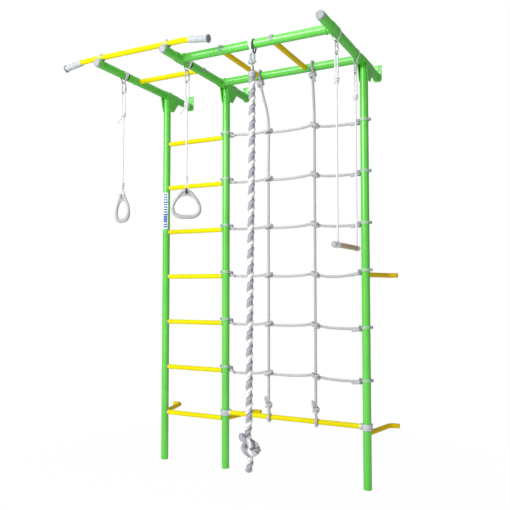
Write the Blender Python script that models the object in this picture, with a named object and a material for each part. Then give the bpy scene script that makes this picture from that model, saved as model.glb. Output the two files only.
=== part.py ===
# Wall bars with monkey bars: three round uprights, a ladder, a climbing net and an
# overhead frame that carries a pull-up bar, two rings, a climbing rope and a trapeze.
# Metres, +Z up, the wall on the +Y side. Sizes are laid out from the floor (z = 0), the
# uprights' plane (y = 0) and the middle upright (x = 0); the root empty then moves the
# whole thing so that the middle wall plate's fixing point is the origin.
import math

import bmesh
import bpy
from mathutils import Matrix, Vector

# overall layout
ladder_width = 0.434
net_width = 0.860
wall_gap = 0.270
beam_z = 2.284
front_reach = 0.655
gap = 0.0003
cope_gap = 0.0006

# how many flats a round piece has
frame_sides = 16
bar_sides = 12
small_sides = 8
net_sides = 6
cord_sides = 6
net_bar_phase = 0.5

# tubes
frame_r = 0.02225
frame_wall = 0.002
rung_r = 0.014
rung_wall = 0.0015
foot_r = 0.0135
foot_flat = 0.0015
tube_floor = 0.004
cope_drop = 0.012

# ladder
rung_pitch = 0.280
lowest_rung = 0.289
rung_headroom = 0.050
washer_r = 0.0165
washer_length = 0.010

# wall plates and beam ends
plate_width = 0.052
plate_low = 0.027
plate_high = 0.070
plate_thickness = 0.005
plate_corner = 0.014
plate_hole_r = 0.0035
plate_hole_x = 0.0145
plate_hole_rise = 0.047
cap_r = 0.0220
cap_length = 0.012
cap_stem = 0.018
cap_round = 0.004

# saddle brackets that straddle a beam and run down an upright
bracket_sheet = 0.0035
bracket_front = 0.034
bracket_rear = 0.100
bracket_drop = 0.101
bracket_foot_front = 0.010
bracket_foot_rear = 0.034
bracket_bend = 0.022
bolt_r = 0.0080
bolt_height = 0.0050
bolt_bite = 0.0012
bracket_top_bolt_y = 0.034
bracket_side_bolt = (0.016, 0.042)

# bars and rails of the overhead frame
pull_up_setback = 0.028
pull_up_bend = 0.115
pull_up_tip = 0.140
pull_up_droop = math.radians(8.0)
pull_up_corner = 0.015
grip_length = 0.118
grip_r = 0.0170
grip_flange_r = 0.0225
grip_flange = 0.007
grip_end_wall = 0.003
cross_bar_y = -0.300
front_rail_setback = 0.155
rear_rail_y = -0.062
saddle_sheet = 0.0030
front_saddle_half = 0.040
rear_saddle_half = 0.024
saddle_bolt_offset = 0.027
through_bolt_r = 0.0040
through_hole_r = 0.0044
strap_width = 0.012
strap_thickness = 0.005
dome_r = 0.0105
dome_height = 0.0065
monkey_x = (0.256, 0.546)

# climbing net
net_rope_r = 0.006
net_line_x = (net_width / 3, net_width * 2 / 3)
net_line_top_x = (0.279, 0.5735)
net_line_y = -0.0065
net_row_y = 0.0065
net_bore = net_rope_r + gap
knot_radii = (0.0175, 0.0150, 0.0140)
clamp_sheet = 0.0030
clamp_half = 0.0075
clamp_lift_middle = 0.0255
lug_reach = 0.020
lug_half_y = 0.0085
lug_half_z = 0.016
ear_reach = 0.012
ear_half_y = 0.0075
row_heights = (0.012, 0.007, 0.008, -0.008)
net_bar_z = 0.325
collar_sheet = 0.009
collar_half = 0.019
collar_bore = 0.007
net_line_knot_low = 0.034
net_line_knot_high = 0.038
net_tail_r = 0.0055
net_tail_low = (-0.014, -0.016, 0.034)
net_tail_high = (0.016, -0.015, -0.036)

# wall feet: the arm leaves the upright, splays sideways and turns along the wall
foot_offset = 0.056
foot_toe = 0.052
foot_low_z = lowest_rung
foot_high_z = lowest_rung + 3 * rung_pitch

# hanging fittings
sling_half_width = 0.011
sling_half_sheet = 0.0014
sling_eye = 0.0030
sling_drop = 0.0405
sling_small_r = 0.0090
link_wire = 0.0035
link_clear = 0.0005
link_half_width = 0.016
link_corner = 0.010
link_height = 0.066
rope_link_height = 0.052

# rings
ring_setback = 0.222
ring_cord_r = 0.004
ring_wire = 0.0092
ring_grip = 0.0115
ring_apex_z = 1.583
ring_turn_left = math.radians(-19.0)
ring_turn_middle = math.radians(30.0)
ring_outline = ((0.024, -0.010), (0.047, -0.036), (0.067, -0.067), (0.0815, -0.099),
                (0.078, -0.124), (0.055, -0.1385), (0.024, -0.1425))
ring_web_half = 0.0035
ring_web_low = (0.048, -0.041)
ring_web_high = (0.026, -0.014)
cord_loop_half = 0.0081
cord_loop_length = 0.122
cord_tail = (0.034, 0.042)
cord_end_gap = 0.0005

# climbing rope
rope_r = 0.0155
rope_top_x = 0.434
rope_low_x = 0.417
rope_end_z = 0.163
rope_knot_z = 0.298
rope_knot_scale = 1.05
rope_knot_half = ((-0.0078, 0.0006, 0.0487), (-0.0065, -0.0018, 0.0234), (-0.0166, -0.0127, 0.0034),
                  (-0.0108, -0.0299, -0.0134), (0.0091, -0.0343, -0.0276), (0.0303, -0.0224, -0.0335),
                  (0.0390, 0.0007, -0.0300), (0.0310, 0.0215, -0.0189), (0.0106, 0.0283, -0.0057))
rope_eye_r = 0.0085
rope_eye_height = 0.040
rope_stem_r = 0.0065
rope_stem = 0.0177
rope_cap_r = 0.0150
rope_cap = 0.004

# trapeze
trapeze_setback = 0.208
trapeze_rear_y = -0.152
trapeze_bar_z = 1.262
trapeze_bar_r = 0.0130
trapeze_overhang = 0.053
trapeze_bar_round = 0.003
trapeze_groove = 0.0015
trapeze_pivot_rise = 0.0148

green = ("green_powder_coat", (0.10, 0.56, 0.06), 0.32, 0.0)
yellow = ("yellow_powder_coat", (0.88, 0.80, 0.02), 0.34, 0.0)
grey_plastic = ("grey_plastic", (0.52, 0.54, 0.55), 0.45, 0.0)
grip_grey = ("grip_grey", (0.44, 0.47, 0.47), 0.60, 0.0)
net_grey = ("net_rope_grey", (0.50, 0.51, 0.52), 0.80, 0.0)
steel = ("zinc_steel", (0.58, 0.59, 0.61), 0.30, 1.0)
webbing = ("white_webbing", (0.75, 0.76, 0.77), 0.85, 0.0)
cord_white = ("cord_white", (0.74, 0.74, 0.74), 0.85, 0.0)
rope_grey = ("climbing_rope_grey", (0.48, 0.48, 0.50), 0.85, 0.0)
ring_grey = ("ring_grey", (0.36, 0.38, 0.39), 0.40, 0.0)
beech = ("beech_wood", (0.56, 0.43, 0.28), 0.55, 0.0)

left_x = -ladder_width
middle_x = 0.0
right_x = net_width
pull_up_y = -front_reach + pull_up_setback
front_rail_y = -front_reach + front_rail_setback
ring_y = -front_reach + ring_setback
trapeze_y = (-front_reach + trapeze_setback, trapeze_rear_y)
trapeze_bar_y = (trapeze_y[0] - trapeze_overhang, trapeze_y[1] + trapeze_overhang)
rung_space = beam_z - bracket_drop - rung_headroom - lowest_rung
rung_count = 1 + int(rung_space / rung_pitch)
rung_heights = [lowest_rung + rung_pitch * step for step in range(rung_count)]
axis_x = Vector((1, 0, 0))
axis_y = Vector((0, 1, 0))
axis_z = Vector((0, 0, 1))


def material(spec):
    name, colour, roughness, metallic = spec
    found = bpy.data.materials.get(name)
    if found:
        return found
    made = bpy.data.materials.new(name)
    made.use_nodes = True
    shader = made.node_tree.nodes["Principled BSDF"]
    shader.inputs["Base Color"].default_value = (*colour, 1.0)
    shader.inputs["Roughness"].default_value = roughness
    shader.inputs["Metallic"].default_value = metallic
    made.diffuse_color = (*colour, 1.0)
    return made


def solid(points, faces):
    """A closed mesh object in floor coordinates, normals outward."""
    mesh = bpy.data.meshes.new("solid")
    mesh.from_pydata([tuple(point) for point in points], [], faces)
    shape = bmesh.new()
    shape.from_mesh(mesh)
    bmesh.ops.recalc_face_normals(shape, faces=shape.faces)
    shape.to_mesh(mesh)
    shape.free()
    piece = bpy.data.objects.new("solid", mesh)
    bpy.context.scene.collection.objects.link(piece)
    return piece


def side_vectors(direction):
    direction = direction.normalized()
    helper = axis_x if abs(direction.x) < 0.9 else axis_y
    first = direction.cross(helper).normalized()
    return first, direction.cross(first)


def bridge(faces, lower, upper, count):
    for i in range(count):
        j = (i + 1) % count
        faces.append((lower + i, lower + j, upper + j, upper + i))


def revolve(profile, start, direction, sides=frame_sides, closed=False):
    """Turns (radius, distance) points about an axis; a radius of 0 makes a pole."""
    start = Vector(start)
    direction = Vector(direction).normalized()
    first, second = side_vectors(direction)
    points = []
    faces = []
    rows = []
    for radius, distance in profile:
        centre = start + direction * distance
        rows.append((len(points), radius > 0))
        if radius > 0:
            for i in range(sides):
                angle = 2 * math.pi * i / sides
                points.append(centre + radius * (math.cos(angle) * first + math.sin(angle) * second))
        else:
            points.append(centre)
    pairs = list(zip(rows, rows[1:]))
    if closed:
        pairs.append((rows[-1], rows[0]))
    for (low, low_ring), (high, high_ring) in pairs:
        if low_ring and high_ring:
            bridge(faces, low, high, sides)
        else:
            pole, ring = (low, high) if high_ring else (high, low)
            for i in range(sides):
                faces.append((pole, ring + i, ring + (i + 1) % sides))
    return solid(points, faces)


def rod(start, end, radius, sides=bar_sides):
    span = Vector(end) - Vector(start)
    return revolve(((0, 0), (radius, 0), (radius, span.length), (0, span.length)), start, span, sides)


def pipe(route, outer, inner=0.0, sides=bar_sides, phase=0.0):
    """A tube, or a round bar when inner is 0, swept along a route; phase turns its flats."""
    route = [Vector(point) for point in route]
    points = []
    faces = []
    tangent = (route[1] - route[0]).normalized()
    first, second = side_vectors(tangent)
    radii = (outer, inner) if inner > 0 else (outer,)
    for index, centre in enumerate(route):
        before = route[max(index - 1, 0)]
        after = route[min(index + 1, len(route) - 1)]
        heading = (after - before).normalized()
        turn = tangent.rotation_difference(heading)
        first = turn @ first
        second = turn @ second
        tangent = heading
        for radius in radii:
            for i in range(sides):
                angle = 2 * math.pi * (i + phase) / sides
                points.append(centre + radius * (math.cos(angle) * first + math.sin(angle) * second))
    step = sides * len(radii)
    for index in range(len(route) - 1):
        for layer in range(len(radii)):
            low = index * step + layer * sides
            bridge(faces, low, low + step, sides)
    last = (len(route) - 1) * step
    if inner > 0:
        bridge(faces, 0, sides, sides)
        bridge(faces, last, last + sides, sides)
    else:
        faces += end_strips(0, sides) + end_strips(last, sides)
    return solid(points, faces)


def end_strips(start, sides):
    """Closes an end with straight strips, so that the end can be coped to a cylinder."""
    strips = []
    for i in range(-(sides // 4), sides // 4):
        corners = []
        for corner in (i, i + 1, sides // 2 - i - 1, sides // 2 - i):
            if start + corner % sides not in corners:
                corners.append(start + corner % sides)
        strips.append(tuple(corners))
    return strips


def hoop(loop, normal, section):
    """A closed loop in one plane; section(i) gives (outward, sideways) points at loop point i."""
    loop = [Vector(point) for point in loop]
    normal = Vector(normal).normalized()
    count = len(loop)
    points = []
    faces = []
    for i in range(count):
        tangent = (loop[(i + 1) % count] - loop[i - 1]).normalized()
        outward = tangent.cross(normal)
        shape = section(i)
        for out, side in shape:
            points.append(loop[i] + outward * out + normal * side)
    sides = len(shape)
    for i in range(count):
        bridge(faces, i * sides, ((i + 1) % count) * sides, sides)
    return solid(points, faces)


def oval(half_out, half_side, sides):
    return [(half_out * math.cos(2 * math.pi * i / sides), half_side * math.sin(2 * math.pi * i / sides))
            for i in range(sides)]


def prism(outline, along, low, high):
    """Extrudes a 2-D outline along X (outline is y, z) or Y (outline is x, z)."""
    points = []
    for level in (low, high):
        for a, b in outline:
            points.append((level, a, b) if along == "x" else (a, level, b))
    count = len(outline)
    faces = [tuple(range(count)), tuple(range(count, 2 * count))]
    bridge(faces, 0, count, count)
    return solid(points, faces)


def box(low, high):
    outline = ((low[0], low[2]), (high[0], low[2]), (high[0], high[2]), (low[0], high[2]))
    return prism(outline, "y", low[1], high[1])


def ball(centre, radii, sides=net_sides, rows=4):
    profile = [(math.sin(math.pi * i / rows), -math.cos(math.pi * i / rows)) for i in range(1, rows)]
    piece = revolve([(0, -1), *profile, (0, 1)], (0, 0, 0), axis_z, sides)
    piece.data.transform(Matrix.Translation(Vector(centre)) @ Matrix.Diagonal((*radii, 1.0)))
    return piece


def combine(piece, tools, operation):
    """Applies exact Booleans and removes the tool objects."""
    for tool in tools:
        modifier = piece.modifiers.new("combine", "BOOLEAN")
        modifier.operation = operation
        modifier.solver = "EXACT"
        modifier.object = tool
    bpy.context.view_layer.update()
    result = bpy.data.meshes.new_from_object(piece.evaluated_get(bpy.context.evaluated_depsgraph_get()))
    piece.modifiers.clear()
    piece.data = result
    for tool in tools:
        bpy.data.objects.remove(tool)
    return piece


def fuse(piece, *tools):
    return combine(piece, tools, "UNION")


def cut(piece, *tools):
    return combine(piece, tools, "DIFFERENCE")


def cope(piece, centre, along, across, radius, least=0.0):
    """Shapes the flat end that lies at centre to a cylinder through centre; along points into the piece."""
    centre = Vector(centre)
    for vertex in piece.data.vertices:
        offset = vertex.co - centre
        if abs(offset.dot(along)) < 1e-6:
            depth = math.sqrt(max(radius ** 2 - offset.dot(across) ** 2, 0.0))
            vertex.co += along * max(depth, least)
    return piece


finished = {}


def finish(piece, name, spec, origin, parent="root", sharp=32):
    """Names a piece, gives it its origin, material, shading and parent."""
    origin = Vector(origin)
    piece.name = name
    piece.data.name = name
    piece.data.transform(Matrix.Translation(-origin))
    piece.data.materials.clear()
    piece.data.materials.append(material(spec))
    for face in piece.data.polygons:
        face.use_smooth = True
        face.material_index = 0
    piece.data.set_sharp_from_angle(angle=math.radians(sharp))
    holder, holder_origin = finished[parent]
    piece.parent = holder
    piece.location = origin - holder_origin
    finished[name] = (piece, origin)
    return piece


def smooth_route(points, steps):
    """A smooth curve through the given points."""
    points = [Vector(point) for point in points]
    ends = [2 * points[0] - points[1], *points, 2 * points[-1] - points[-2]]
    curve = []
    for before, start, end, after in zip(ends, ends[1:], ends[2:], ends[3:]):
        for step in range(steps):
            t = step / steps
            curve.append(0.5 * (2 * start + (end - before) * t
                                + (2 * before - 5 * start + 4 * end - after) * t * t
                                + (3 * start - before - 3 * end + after) * t ** 3))
    curve.append(points[-1])
    return curve


def cord(name, route, radius, spec, origin, parent):
    """A cord: a round bevelled curve with filled ends along a smooth route."""
    origin = Vector(origin)
    curve = bpy.data.curves.new(name, "CURVE")
    curve.dimensions = "3D"
    curve.bevel_depth = radius
    curve.bevel_resolution = 2
    curve.use_fill_caps = True
    curve.resolution_u = 1
    curve.render_resolution_u = 0
    line = curve.splines.new("POLY")
    line.points.add(len(route) - 1)
    for point, place in zip(line.points, route):
        point.co = (*(Vector(place) - origin), 1.0)
    curve.materials.append(material(spec))
    piece = bpy.data.objects.new(name, curve)
    bpy.context.scene.collection.objects.link(piece)
    holder, holder_origin = finished[parent]
    piece.parent = holder
    piece.location = origin - holder_origin
    finished[name] = (piece, origin)
    return piece


def bolt_head(place, direction):
    """A hexagon head that bites a little into the sheet it stands on."""
    direction = Vector(direction)
    start = Vector(place) - direction * bolt_bite
    length = bolt_height + bolt_bite
    return rod(start, start + direction * length, bolt_r, 6)


def dome_head(place, direction):
    direction = Vector(direction)
    steps = 2
    profile = [(0, 0), (dome_r, 0)]
    for step in range(1, steps):
        angle = math.pi / 2 * step / steps
        profile.append((dome_r * math.cos(angle), dome_height * math.sin(angle)))
    profile.append((0, dome_height))
    return revolve(profile, place, direction, small_sides)


# start from an empty scene
for leftover in list(bpy.data.objects):
    bpy.data.objects.remove(leftover)
fixing_point = Vector((middle_x, wall_gap, beam_z + (plate_high - plate_low) / 2))
root = bpy.data.objects.new("root", None)
root.location = -fixing_point
bpy.context.scene.collection.objects.link(root)
finished["root"] = (root, Vector((0, 0, 0)))


# uprights: open tubes with a closed foot, coped to the beam that lies on them
inner_r = frame_r - frame_wall
for name, x in (("upright_left", left_x), ("upright_middle", middle_x), ("upright_right", right_x)):
    profile = ((0, 0), (frame_r, 0), (frame_r, beam_z), (inner_r, beam_z), (inner_r, tube_floor),
               (0, tube_floor))
    upright = revolve(profile, (x, 0, 0), axis_z)
    cope(upright, (x, 0, beam_z), -axis_z, axis_x, frame_r + gap, cope_drop)
    finish(upright, name, green, (x, 0, 0))


# beams, each with its welded wall plate, and the plugs in their free ends
def wall_plate(x):
    low = beam_z - plate_low
    high = beam_z + plate_high
    half = plate_width / 2
    outline = [(x + half, high), (x - half, high)]
    for centre_x, begin in ((x - half + plate_corner, 180), (x + half - plate_corner, 270)):
        for step in range(4):
            angle = math.radians(begin + 30 * step)
            outline.append((centre_x + plate_corner * math.cos(angle),
                            low + plate_corner * (1 + math.sin(angle))))
    plate = prism(outline, "y", wall_gap - plate_thickness, wall_gap)
    hole_z = beam_z + plate_hole_rise
    holes = []
    for hole_x in (x - plate_hole_x, x + plate_hole_x):
        holes.append(rod((hole_x, wall_gap - 0.05, hole_z), (hole_x, wall_gap + 0.05, hole_z), plate_hole_r,
                         small_sides))
    return cut(plate, *holes)


def bolt_holes(x):
    """Cross holes for the bolts of the bars and rails that meet this beam."""
    places = []
    if x < right_x:
        places.append((cross_bar_y, beam_z))
    if x > left_x:
        places.append((front_rail_y - saddle_bolt_offset, beam_z))
        places.append((front_rail_y + saddle_bolt_offset, beam_z))
        places.append((rear_rail_y, beam_z))
    return [rod((x - 0.05, y, z), (x + 0.05, y, z), through_hole_r, small_sides) for y, z in places]


for side, x in (("left", left_x), ("middle", middle_x), ("right", right_x)):
    length = front_reach + wall_gap - plate_thickness / 2
    floor = length - tube_floor
    profile = ((0, length), (frame_r, length), (frame_r, 0), (inner_r, 0), (inner_r, floor), (0, floor))
    beam = revolve(profile, (x, -front_reach, beam_z), axis_y)
    beam = fuse(beam, wall_plate(x))
    finish(cut(beam, *bolt_holes(x)), "beam_" + side, green, (x, 0, beam_z))

    stem_r = inner_r - gap
    end = cap_stem + gap + cap_length
    profile = ((0, 0), (stem_r, 0), (stem_r, cap_stem), (cap_r, cap_stem + gap), (cap_r, end - cap_round),
               (cap_r - cap_round, end), (0, end))
    cap = revolve(profile, (x, -front_reach + cap_stem, beam_z), -axis_y)
    finish(cap, "beam_cap_" + side, grey_plastic, (x, -front_reach, beam_z))


# saddle brackets: a sheet folded over the beam and down both sides of the upright
def bracket_edges(z):
    """Front and rear edge of the bracket's cheek at height z."""
    start = beam_z - bracket_bend
    down = min(max((start - z) / (bracket_drop - bracket_bend), 0.0), 1.0)
    front = -bracket_front + (bracket_front - bracket_foot_front) * down
    rear = bracket_rear + (bracket_foot_rear - bracket_rear) * down
    return front, rear


def saddle_bracket(x):
    inside = frame_r + gap
    outside = inside + bracket_sheet
    rows = []
    for z in (beam_z - bracket_drop, beam_z - bracket_bend):
        rows.append(((inside, z), (outside, z)))
    for step in range(9):
        angle = math.pi * step / 8
        rows.append(((inside * math.cos(angle), beam_z + inside * math.sin(angle)),
                     (outside * math.cos(angle), beam_z + outside * math.sin(angle))))
    for z in (beam_z - bracket_bend, beam_z - bracket_drop):
        rows.append(((-inside, z), (-outside, z)))
    points = []
    faces = []
    for (in_x, in_z), (out_x, out_z) in rows:
        front, rear = bracket_edges(min(in_z, out_z))
        points += [(x + in_x, front, in_z), (x + out_x, front, out_z),
                   (x + out_x, rear, out_z), (x + in_x, rear, in_z)]
    for index in range(len(rows) - 1):
        bridge(faces, 4 * index, 4 * index + 4, 4)
    last = 4 * (len(rows) - 1)
    faces += [(0, 1, 2, 3), (last, last + 1, last + 2, last + 3)]
    return solid(points, faces)


for side, x in (("left", left_x), ("middle", middle_x), ("right", right_x)):
    bracket = saddle_bracket(x)
    face = frame_r + gap + bracket_sheet
    heads = [bolt_head((x, bracket_top_bolt_y, beam_z + face), axis_z)]
    for direction in (1, -1):
        place = (x + direction * face, bracket_side_bolt[0], beam_z - bracket_side_bolt[1])
        heads.append(bolt_head(place, axis_x * direction))
    finish(fuse(bracket, *heads), "top_bracket_" + side, green, (x, 0, beam_z))


# ladder rungs: tubes coped to the uprights, with a moulded washer at each end
for number, z in enumerate(rung_heights, start=1):
    reach = frame_r + washer_length
    inside = rung_r - rung_wall
    half = ((inside, 0), (washer_r, 0), (rung_r, reach))
    profile = [*half, *((radius, ladder_width - distance) for radius, distance in reversed(half))]
    rung = revolve(profile, (left_x, 0, z), axis_x, bar_sides, closed=True)
    for x, along in ((left_x, axis_x), (middle_x, -axis_x)):
        cope(rung, (x, 0, z), along, axis_y, frame_r + cope_gap)
    finish(rung, "rung_" + str(number), yellow, ((left_x + middle_x) / 2, 0, z))


# pull-up bar on top of the left and middle beams, ends drooping into two grips
pull_up_z = beam_z + frame_r + rung_r + gap
drop = Vector((math.cos(pull_up_droop), 0, -math.sin(pull_up_droop)))
left_bend = Vector((left_x - pull_up_bend, pull_up_y, pull_up_z))
right_bend = Vector((middle_x + pull_up_bend, pull_up_y, pull_up_z))
left_drop = Vector((-drop.x, 0, drop.z))
route = [left_bend + left_drop * pull_up_tip, left_bend + left_drop * pull_up_corner,
         left_bend + axis_x * pull_up_corner, right_bend - axis_x * pull_up_corner,
         right_bend + drop * pull_up_corner, right_bend + drop * pull_up_tip]
bar = pipe(route, rung_r, rung_r - rung_wall)
heads = [bolt_head((x, pull_up_y, pull_up_z + rung_r), axis_z) for x in (left_x, middle_x)]
finish(fuse(bar, *heads), "pull_up_bar", yellow, ((left_x + middle_x) / 2, pull_up_y, pull_up_z))

sleeve_r = rung_r + gap
for name, bend, heading in (("grip_left", left_bend, left_drop), ("grip_right", right_bend, drop)):
    mouth = bend + heading * (pull_up_tip + gap + grip_end_wall - grip_length)
    inner_end = grip_length - grip_end_wall
    profile = ((0, inner_end), (sleeve_r, inner_end), (sleeve_r, 0), (grip_r, 0),
               (grip_r, grip_length - grip_flange - 0.003), (grip_flange_r, grip_length - grip_flange),
               (grip_flange_r, grip_length), (0, grip_length))
    finish(revolve(profile, mouth, heading, bar_sides), name, grip_grey, mouth)


# cross bar, rails and monkey rungs: coped to the tubes they meet and bolted through them
def through_bolt(place, inward, bite):
    """Bolt through a tube centred at place: its shank, and the dome cap outside."""
    place = Vector(place)
    outside = place - inward * (frame_r + gap)
    shank = rod(outside - inward * 0.001, place + inward * (frame_r + bite), through_bolt_r, small_sides)
    return shank, dome_head(outside, -inward)


def strap(place, inward, radius):
    """Bar across a tube's bore that the end bolt screws into; the bore stays open beside it."""
    across = inward.cross(axis_z) * strap_width / 2
    start = Vector(place) + inward * (frame_r + 0.0025)
    end = start + inward * strap_thickness
    corners = [start - across, end + across]
    low = Vector([min(corner[i] for corner in corners) for i in range(3)]) - axis_z * radius
    high = Vector([max(corner[i] for corner in corners) for i in range(3)]) + axis_z * radius
    return box(low, high)


def rail_saddle(x, y, inward, half):
    """Curved plate on the beam's inner side, open in the middle like the tube welded to it."""
    outline = []
    steps = 8
    inner = frame_r + gap
    for radius, order in ((inner, range(steps + 1)), (inner + saddle_sheet, range(steps, -1, -1))):
        for step in order:
            angle = math.radians(-90 + 180 / steps * step)
            outline.append((x + inward * radius * math.cos(angle), beam_z + radius * math.sin(angle)))
    return prism(outline, "y", y - half, y + half)


bar_ends = ((left_x, axis_x), (middle_x, -axis_x))
cross_bar = pipe(((left_x, cross_bar_y, beam_z), (middle_x, cross_bar_y, beam_z)), rung_r,
                 rung_r - rung_wall)
for x, inward in bar_ends:
    cope(cross_bar, (x, cross_bar_y, beam_z), inward, axis_z, frame_r + cope_gap)
for x, inward in bar_ends:
    place = (x, cross_bar_y, beam_z)
    cross_bar = fuse(cross_bar, strap(place, inward, rung_r - 0.0007))
    cross_bar = fuse(cross_bar, *through_bolt(place, inward, strap_thickness))
finish(cross_bar, "cross_bar", yellow, ((left_x + middle_x) / 2, cross_bar_y, beam_z))

rail_ends = ((middle_x, axis_x), (right_x, -axis_x))
front_bolts = (-saddle_bolt_offset, saddle_bolt_offset)
for name, y, half, bolts in (("front_rail", front_rail_y, front_saddle_half, front_bolts),
                             ("rear_rail", rear_rail_y, rear_saddle_half, (0.0,))):
    bite = strap_thickness if len(bolts) == 1 else 0.4 * strap_thickness
    rail = pipe(((middle_x, y, beam_z), (right_x, y, beam_z)), frame_r, inner_r, frame_sides)
    for x, inward in rail_ends:
        cope(rail, (x, y, beam_z), inward, axis_z, frame_r + gap + 0.4 * saddle_sheet)
    for x, inward in rail_ends:
        saddle = rail_saddle(x, y, inward.x, half)
        opening = rod((x, y, beam_z), (x + inward.x * 0.05, y, beam_z), inner_r - 0.003, small_sides)
        saddle = cut(saddle, opening)
        rail = fuse(rail, saddle)
        if len(bolts) == 1:
            rail = fuse(rail, strap((x, y, beam_z), inward, inner_r + 0.001))
        for offset in bolts:
            rail = fuse(rail, *through_bolt((x, y + offset, beam_z), inward, bite))
    if name == "front_rail":
        rail = cut(rail, *(rod((x, y - 0.05, beam_z), (x, y + 0.05, beam_z), through_hole_r, small_sides)
                           for x in monkey_x))
    finish(rail, name, green, ((middle_x + right_x) / 2, y, beam_z))

for number, x in enumerate(monkey_x, start=1):
    front = (x, front_rail_y, beam_z)
    rear = (x, rear_rail_y, beam_z)
    rung = pipe((front, rear), rung_r, rung_r - rung_wall)
    cope(rung, front, axis_y, axis_z, frame_r + cope_gap)
    cope(rung, rear, -axis_y, axis_z, frame_r + cope_gap)
    rung = fuse(rung, strap(front, axis_y, rung_r - 0.0007))
    rung = fuse(rung, *through_bolt(front, axis_y, strap_thickness))
    finish(rung, "monkey_rung_" + str(number), yellow, (x, (front_rail_y + rear_rail_y) / 2, beam_z))


# net bar between the middle and right uprights, clamped by a collar at each end
net_bar = pipe(((middle_x + frame_r + 0.004, 0, net_bar_z), (right_x - frame_r - 0.004, 0, net_bar_z)),
               rung_r, rung_r - rung_wall, phase=net_bar_phase)
bores = []
for x, inward in ((middle_x, 1), (right_x, -1)):
    ring_inner = frame_r + gap
    ring_outer = ring_inner + collar_sheet
    profile = ((ring_inner, -collar_half), (ring_outer, -collar_half), (ring_outer, collar_half),
               (ring_inner, collar_half))
    net_bar = fuse(net_bar, revolve(profile, (x, 0, net_bar_z), axis_z, closed=True))
    low, high = sorted((x + inward * 0.01, x + inward * 0.05))
    bores.append(box((low, -collar_bore, net_bar_z - collar_bore),
                     (high, collar_bore, net_bar_z + collar_bore)))
net_bar = cut(net_bar, *bores)
finish(net_bar, "net_bar", yellow, ((middle_x + right_x) / 2, 0, net_bar_z))


# wall feet behind the uprights; the upper one stands on a net clamp
def wall_foot(x, z, sideways, seat_r):
    end_y = wall_gap - foot_r + foot_flat
    corner = Vector((x + sideways * foot_offset, end_y, z))
    start = Vector((x, 0.0, z))
    arm = (corner - start).normalized()
    route = [start, corner - arm * 0.022, corner - arm * 0.007 + axis_x * sideways * 0.003,
             corner + axis_x * sideways * 0.016, corner + axis_x * sideways * foot_toe]
    foot = pipe(route, foot_r)
    cope(foot, start, arm, arm.cross(axis_z), seat_r)
    return cut(foot, box((x - 0.3, wall_gap, z - 0.05), (x + 0.3, wall_gap + 0.05, z + 0.05)))


plain_seat = frame_r + cope_gap
for name, x, z, sideways, seat in (("wall_foot_left", left_x, foot_low_z, -1, plain_seat),
                                   ("wall_foot_middle", middle_x, foot_low_z, 1, plain_seat),
                                   ("wall_foot_right", right_x, foot_low_z, 1, plain_seat),
                                   ("wall_foot_upper", right_x, foot_high_z, 1,
                                    plain_seat + clamp_sheet + gap)):
    finish(wall_foot(x, z, sideways, seat), name, yellow, (x, 0, z))


# net rows: rope, the knots round the upright lines, and the clamp at each end
def net_clamp(x, z, inward, rope_z):
    ring_inner = frame_r + gap
    ring_outer = ring_inner + clamp_sheet
    profile = ((ring_inner, -clamp_half), (ring_outer, -clamp_half), (ring_outer, clamp_half),
               (ring_inner, clamp_half))
    band = revolve(profile, (x, 0, z), axis_z, closed=True)
    inside = frame_r + 0.0015
    low, high = sorted((x + inward * inside, x + inward * (inside + lug_reach)))
    middle_y = net_row_y - 0.002
    lug = box((low, middle_y - lug_half_y, rope_z - lug_half_z),
              (high, middle_y + lug_half_y, rope_z + lug_half_z))
    low, high = sorted((x - inward * inside, x - inward * (inside + ear_reach)))
    ear_half = clamp_half - 0.001
    ear = box((low, -ear_half_y, z - ear_half), (high, ear_half_y, z + ear_half))
    return fuse(band, lug, ear)


row_levels = rung_heights[1:]
for number, z in enumerate(row_levels, start=1):
    lug_end = frame_r + lug_reach - 0.006
    stations = (middle_x + lug_end, *net_line_x, right_x - lug_end)
    heights = [z + rise for rise in row_heights]
    route = [(x, net_row_y, height) for x, height in zip(stations, heights)]
    row = pipe(route, net_rope_r, sides=net_sides)
    for x, height in zip(net_line_x, heights[1:3]):
        knot = ball((x, 0.0, height), knot_radii)
        row = fuse(row, knot)
    row = fuse(row, net_clamp(middle_x, z + clamp_lift_middle, 1, heights[0]))
    row = fuse(row, net_clamp(right_x, z, -1, heights[3]))
    bores = [rod((x, net_line_y, height - 0.03), (x, net_line_y, height + 0.03), net_bore, net_sides)
             for x, height in zip(net_line_x, heights[1:3])]
    finish(cut(row, *bores), "net_row_" + str(number), net_grey, (middle_x, net_row_y, z))


# upright net lines, looped and knotted on the net bar and on the rear rail
def tie(centre, inner, count, phase):
    """Loop of net rope round a horizontal bar along X, with the bar's own flats and phase."""
    major = inner + gap + net_rope_r
    turns = [2 * math.pi * (i + phase) / count for i in range(count)]
    loop = [Vector(centre) + major * Vector((0, math.cos(turn), math.sin(turn))) for turn in turns]
    return hoop(loop, -axis_x, lambda i: oval(net_rope_r, net_rope_r, cord_sides))


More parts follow.
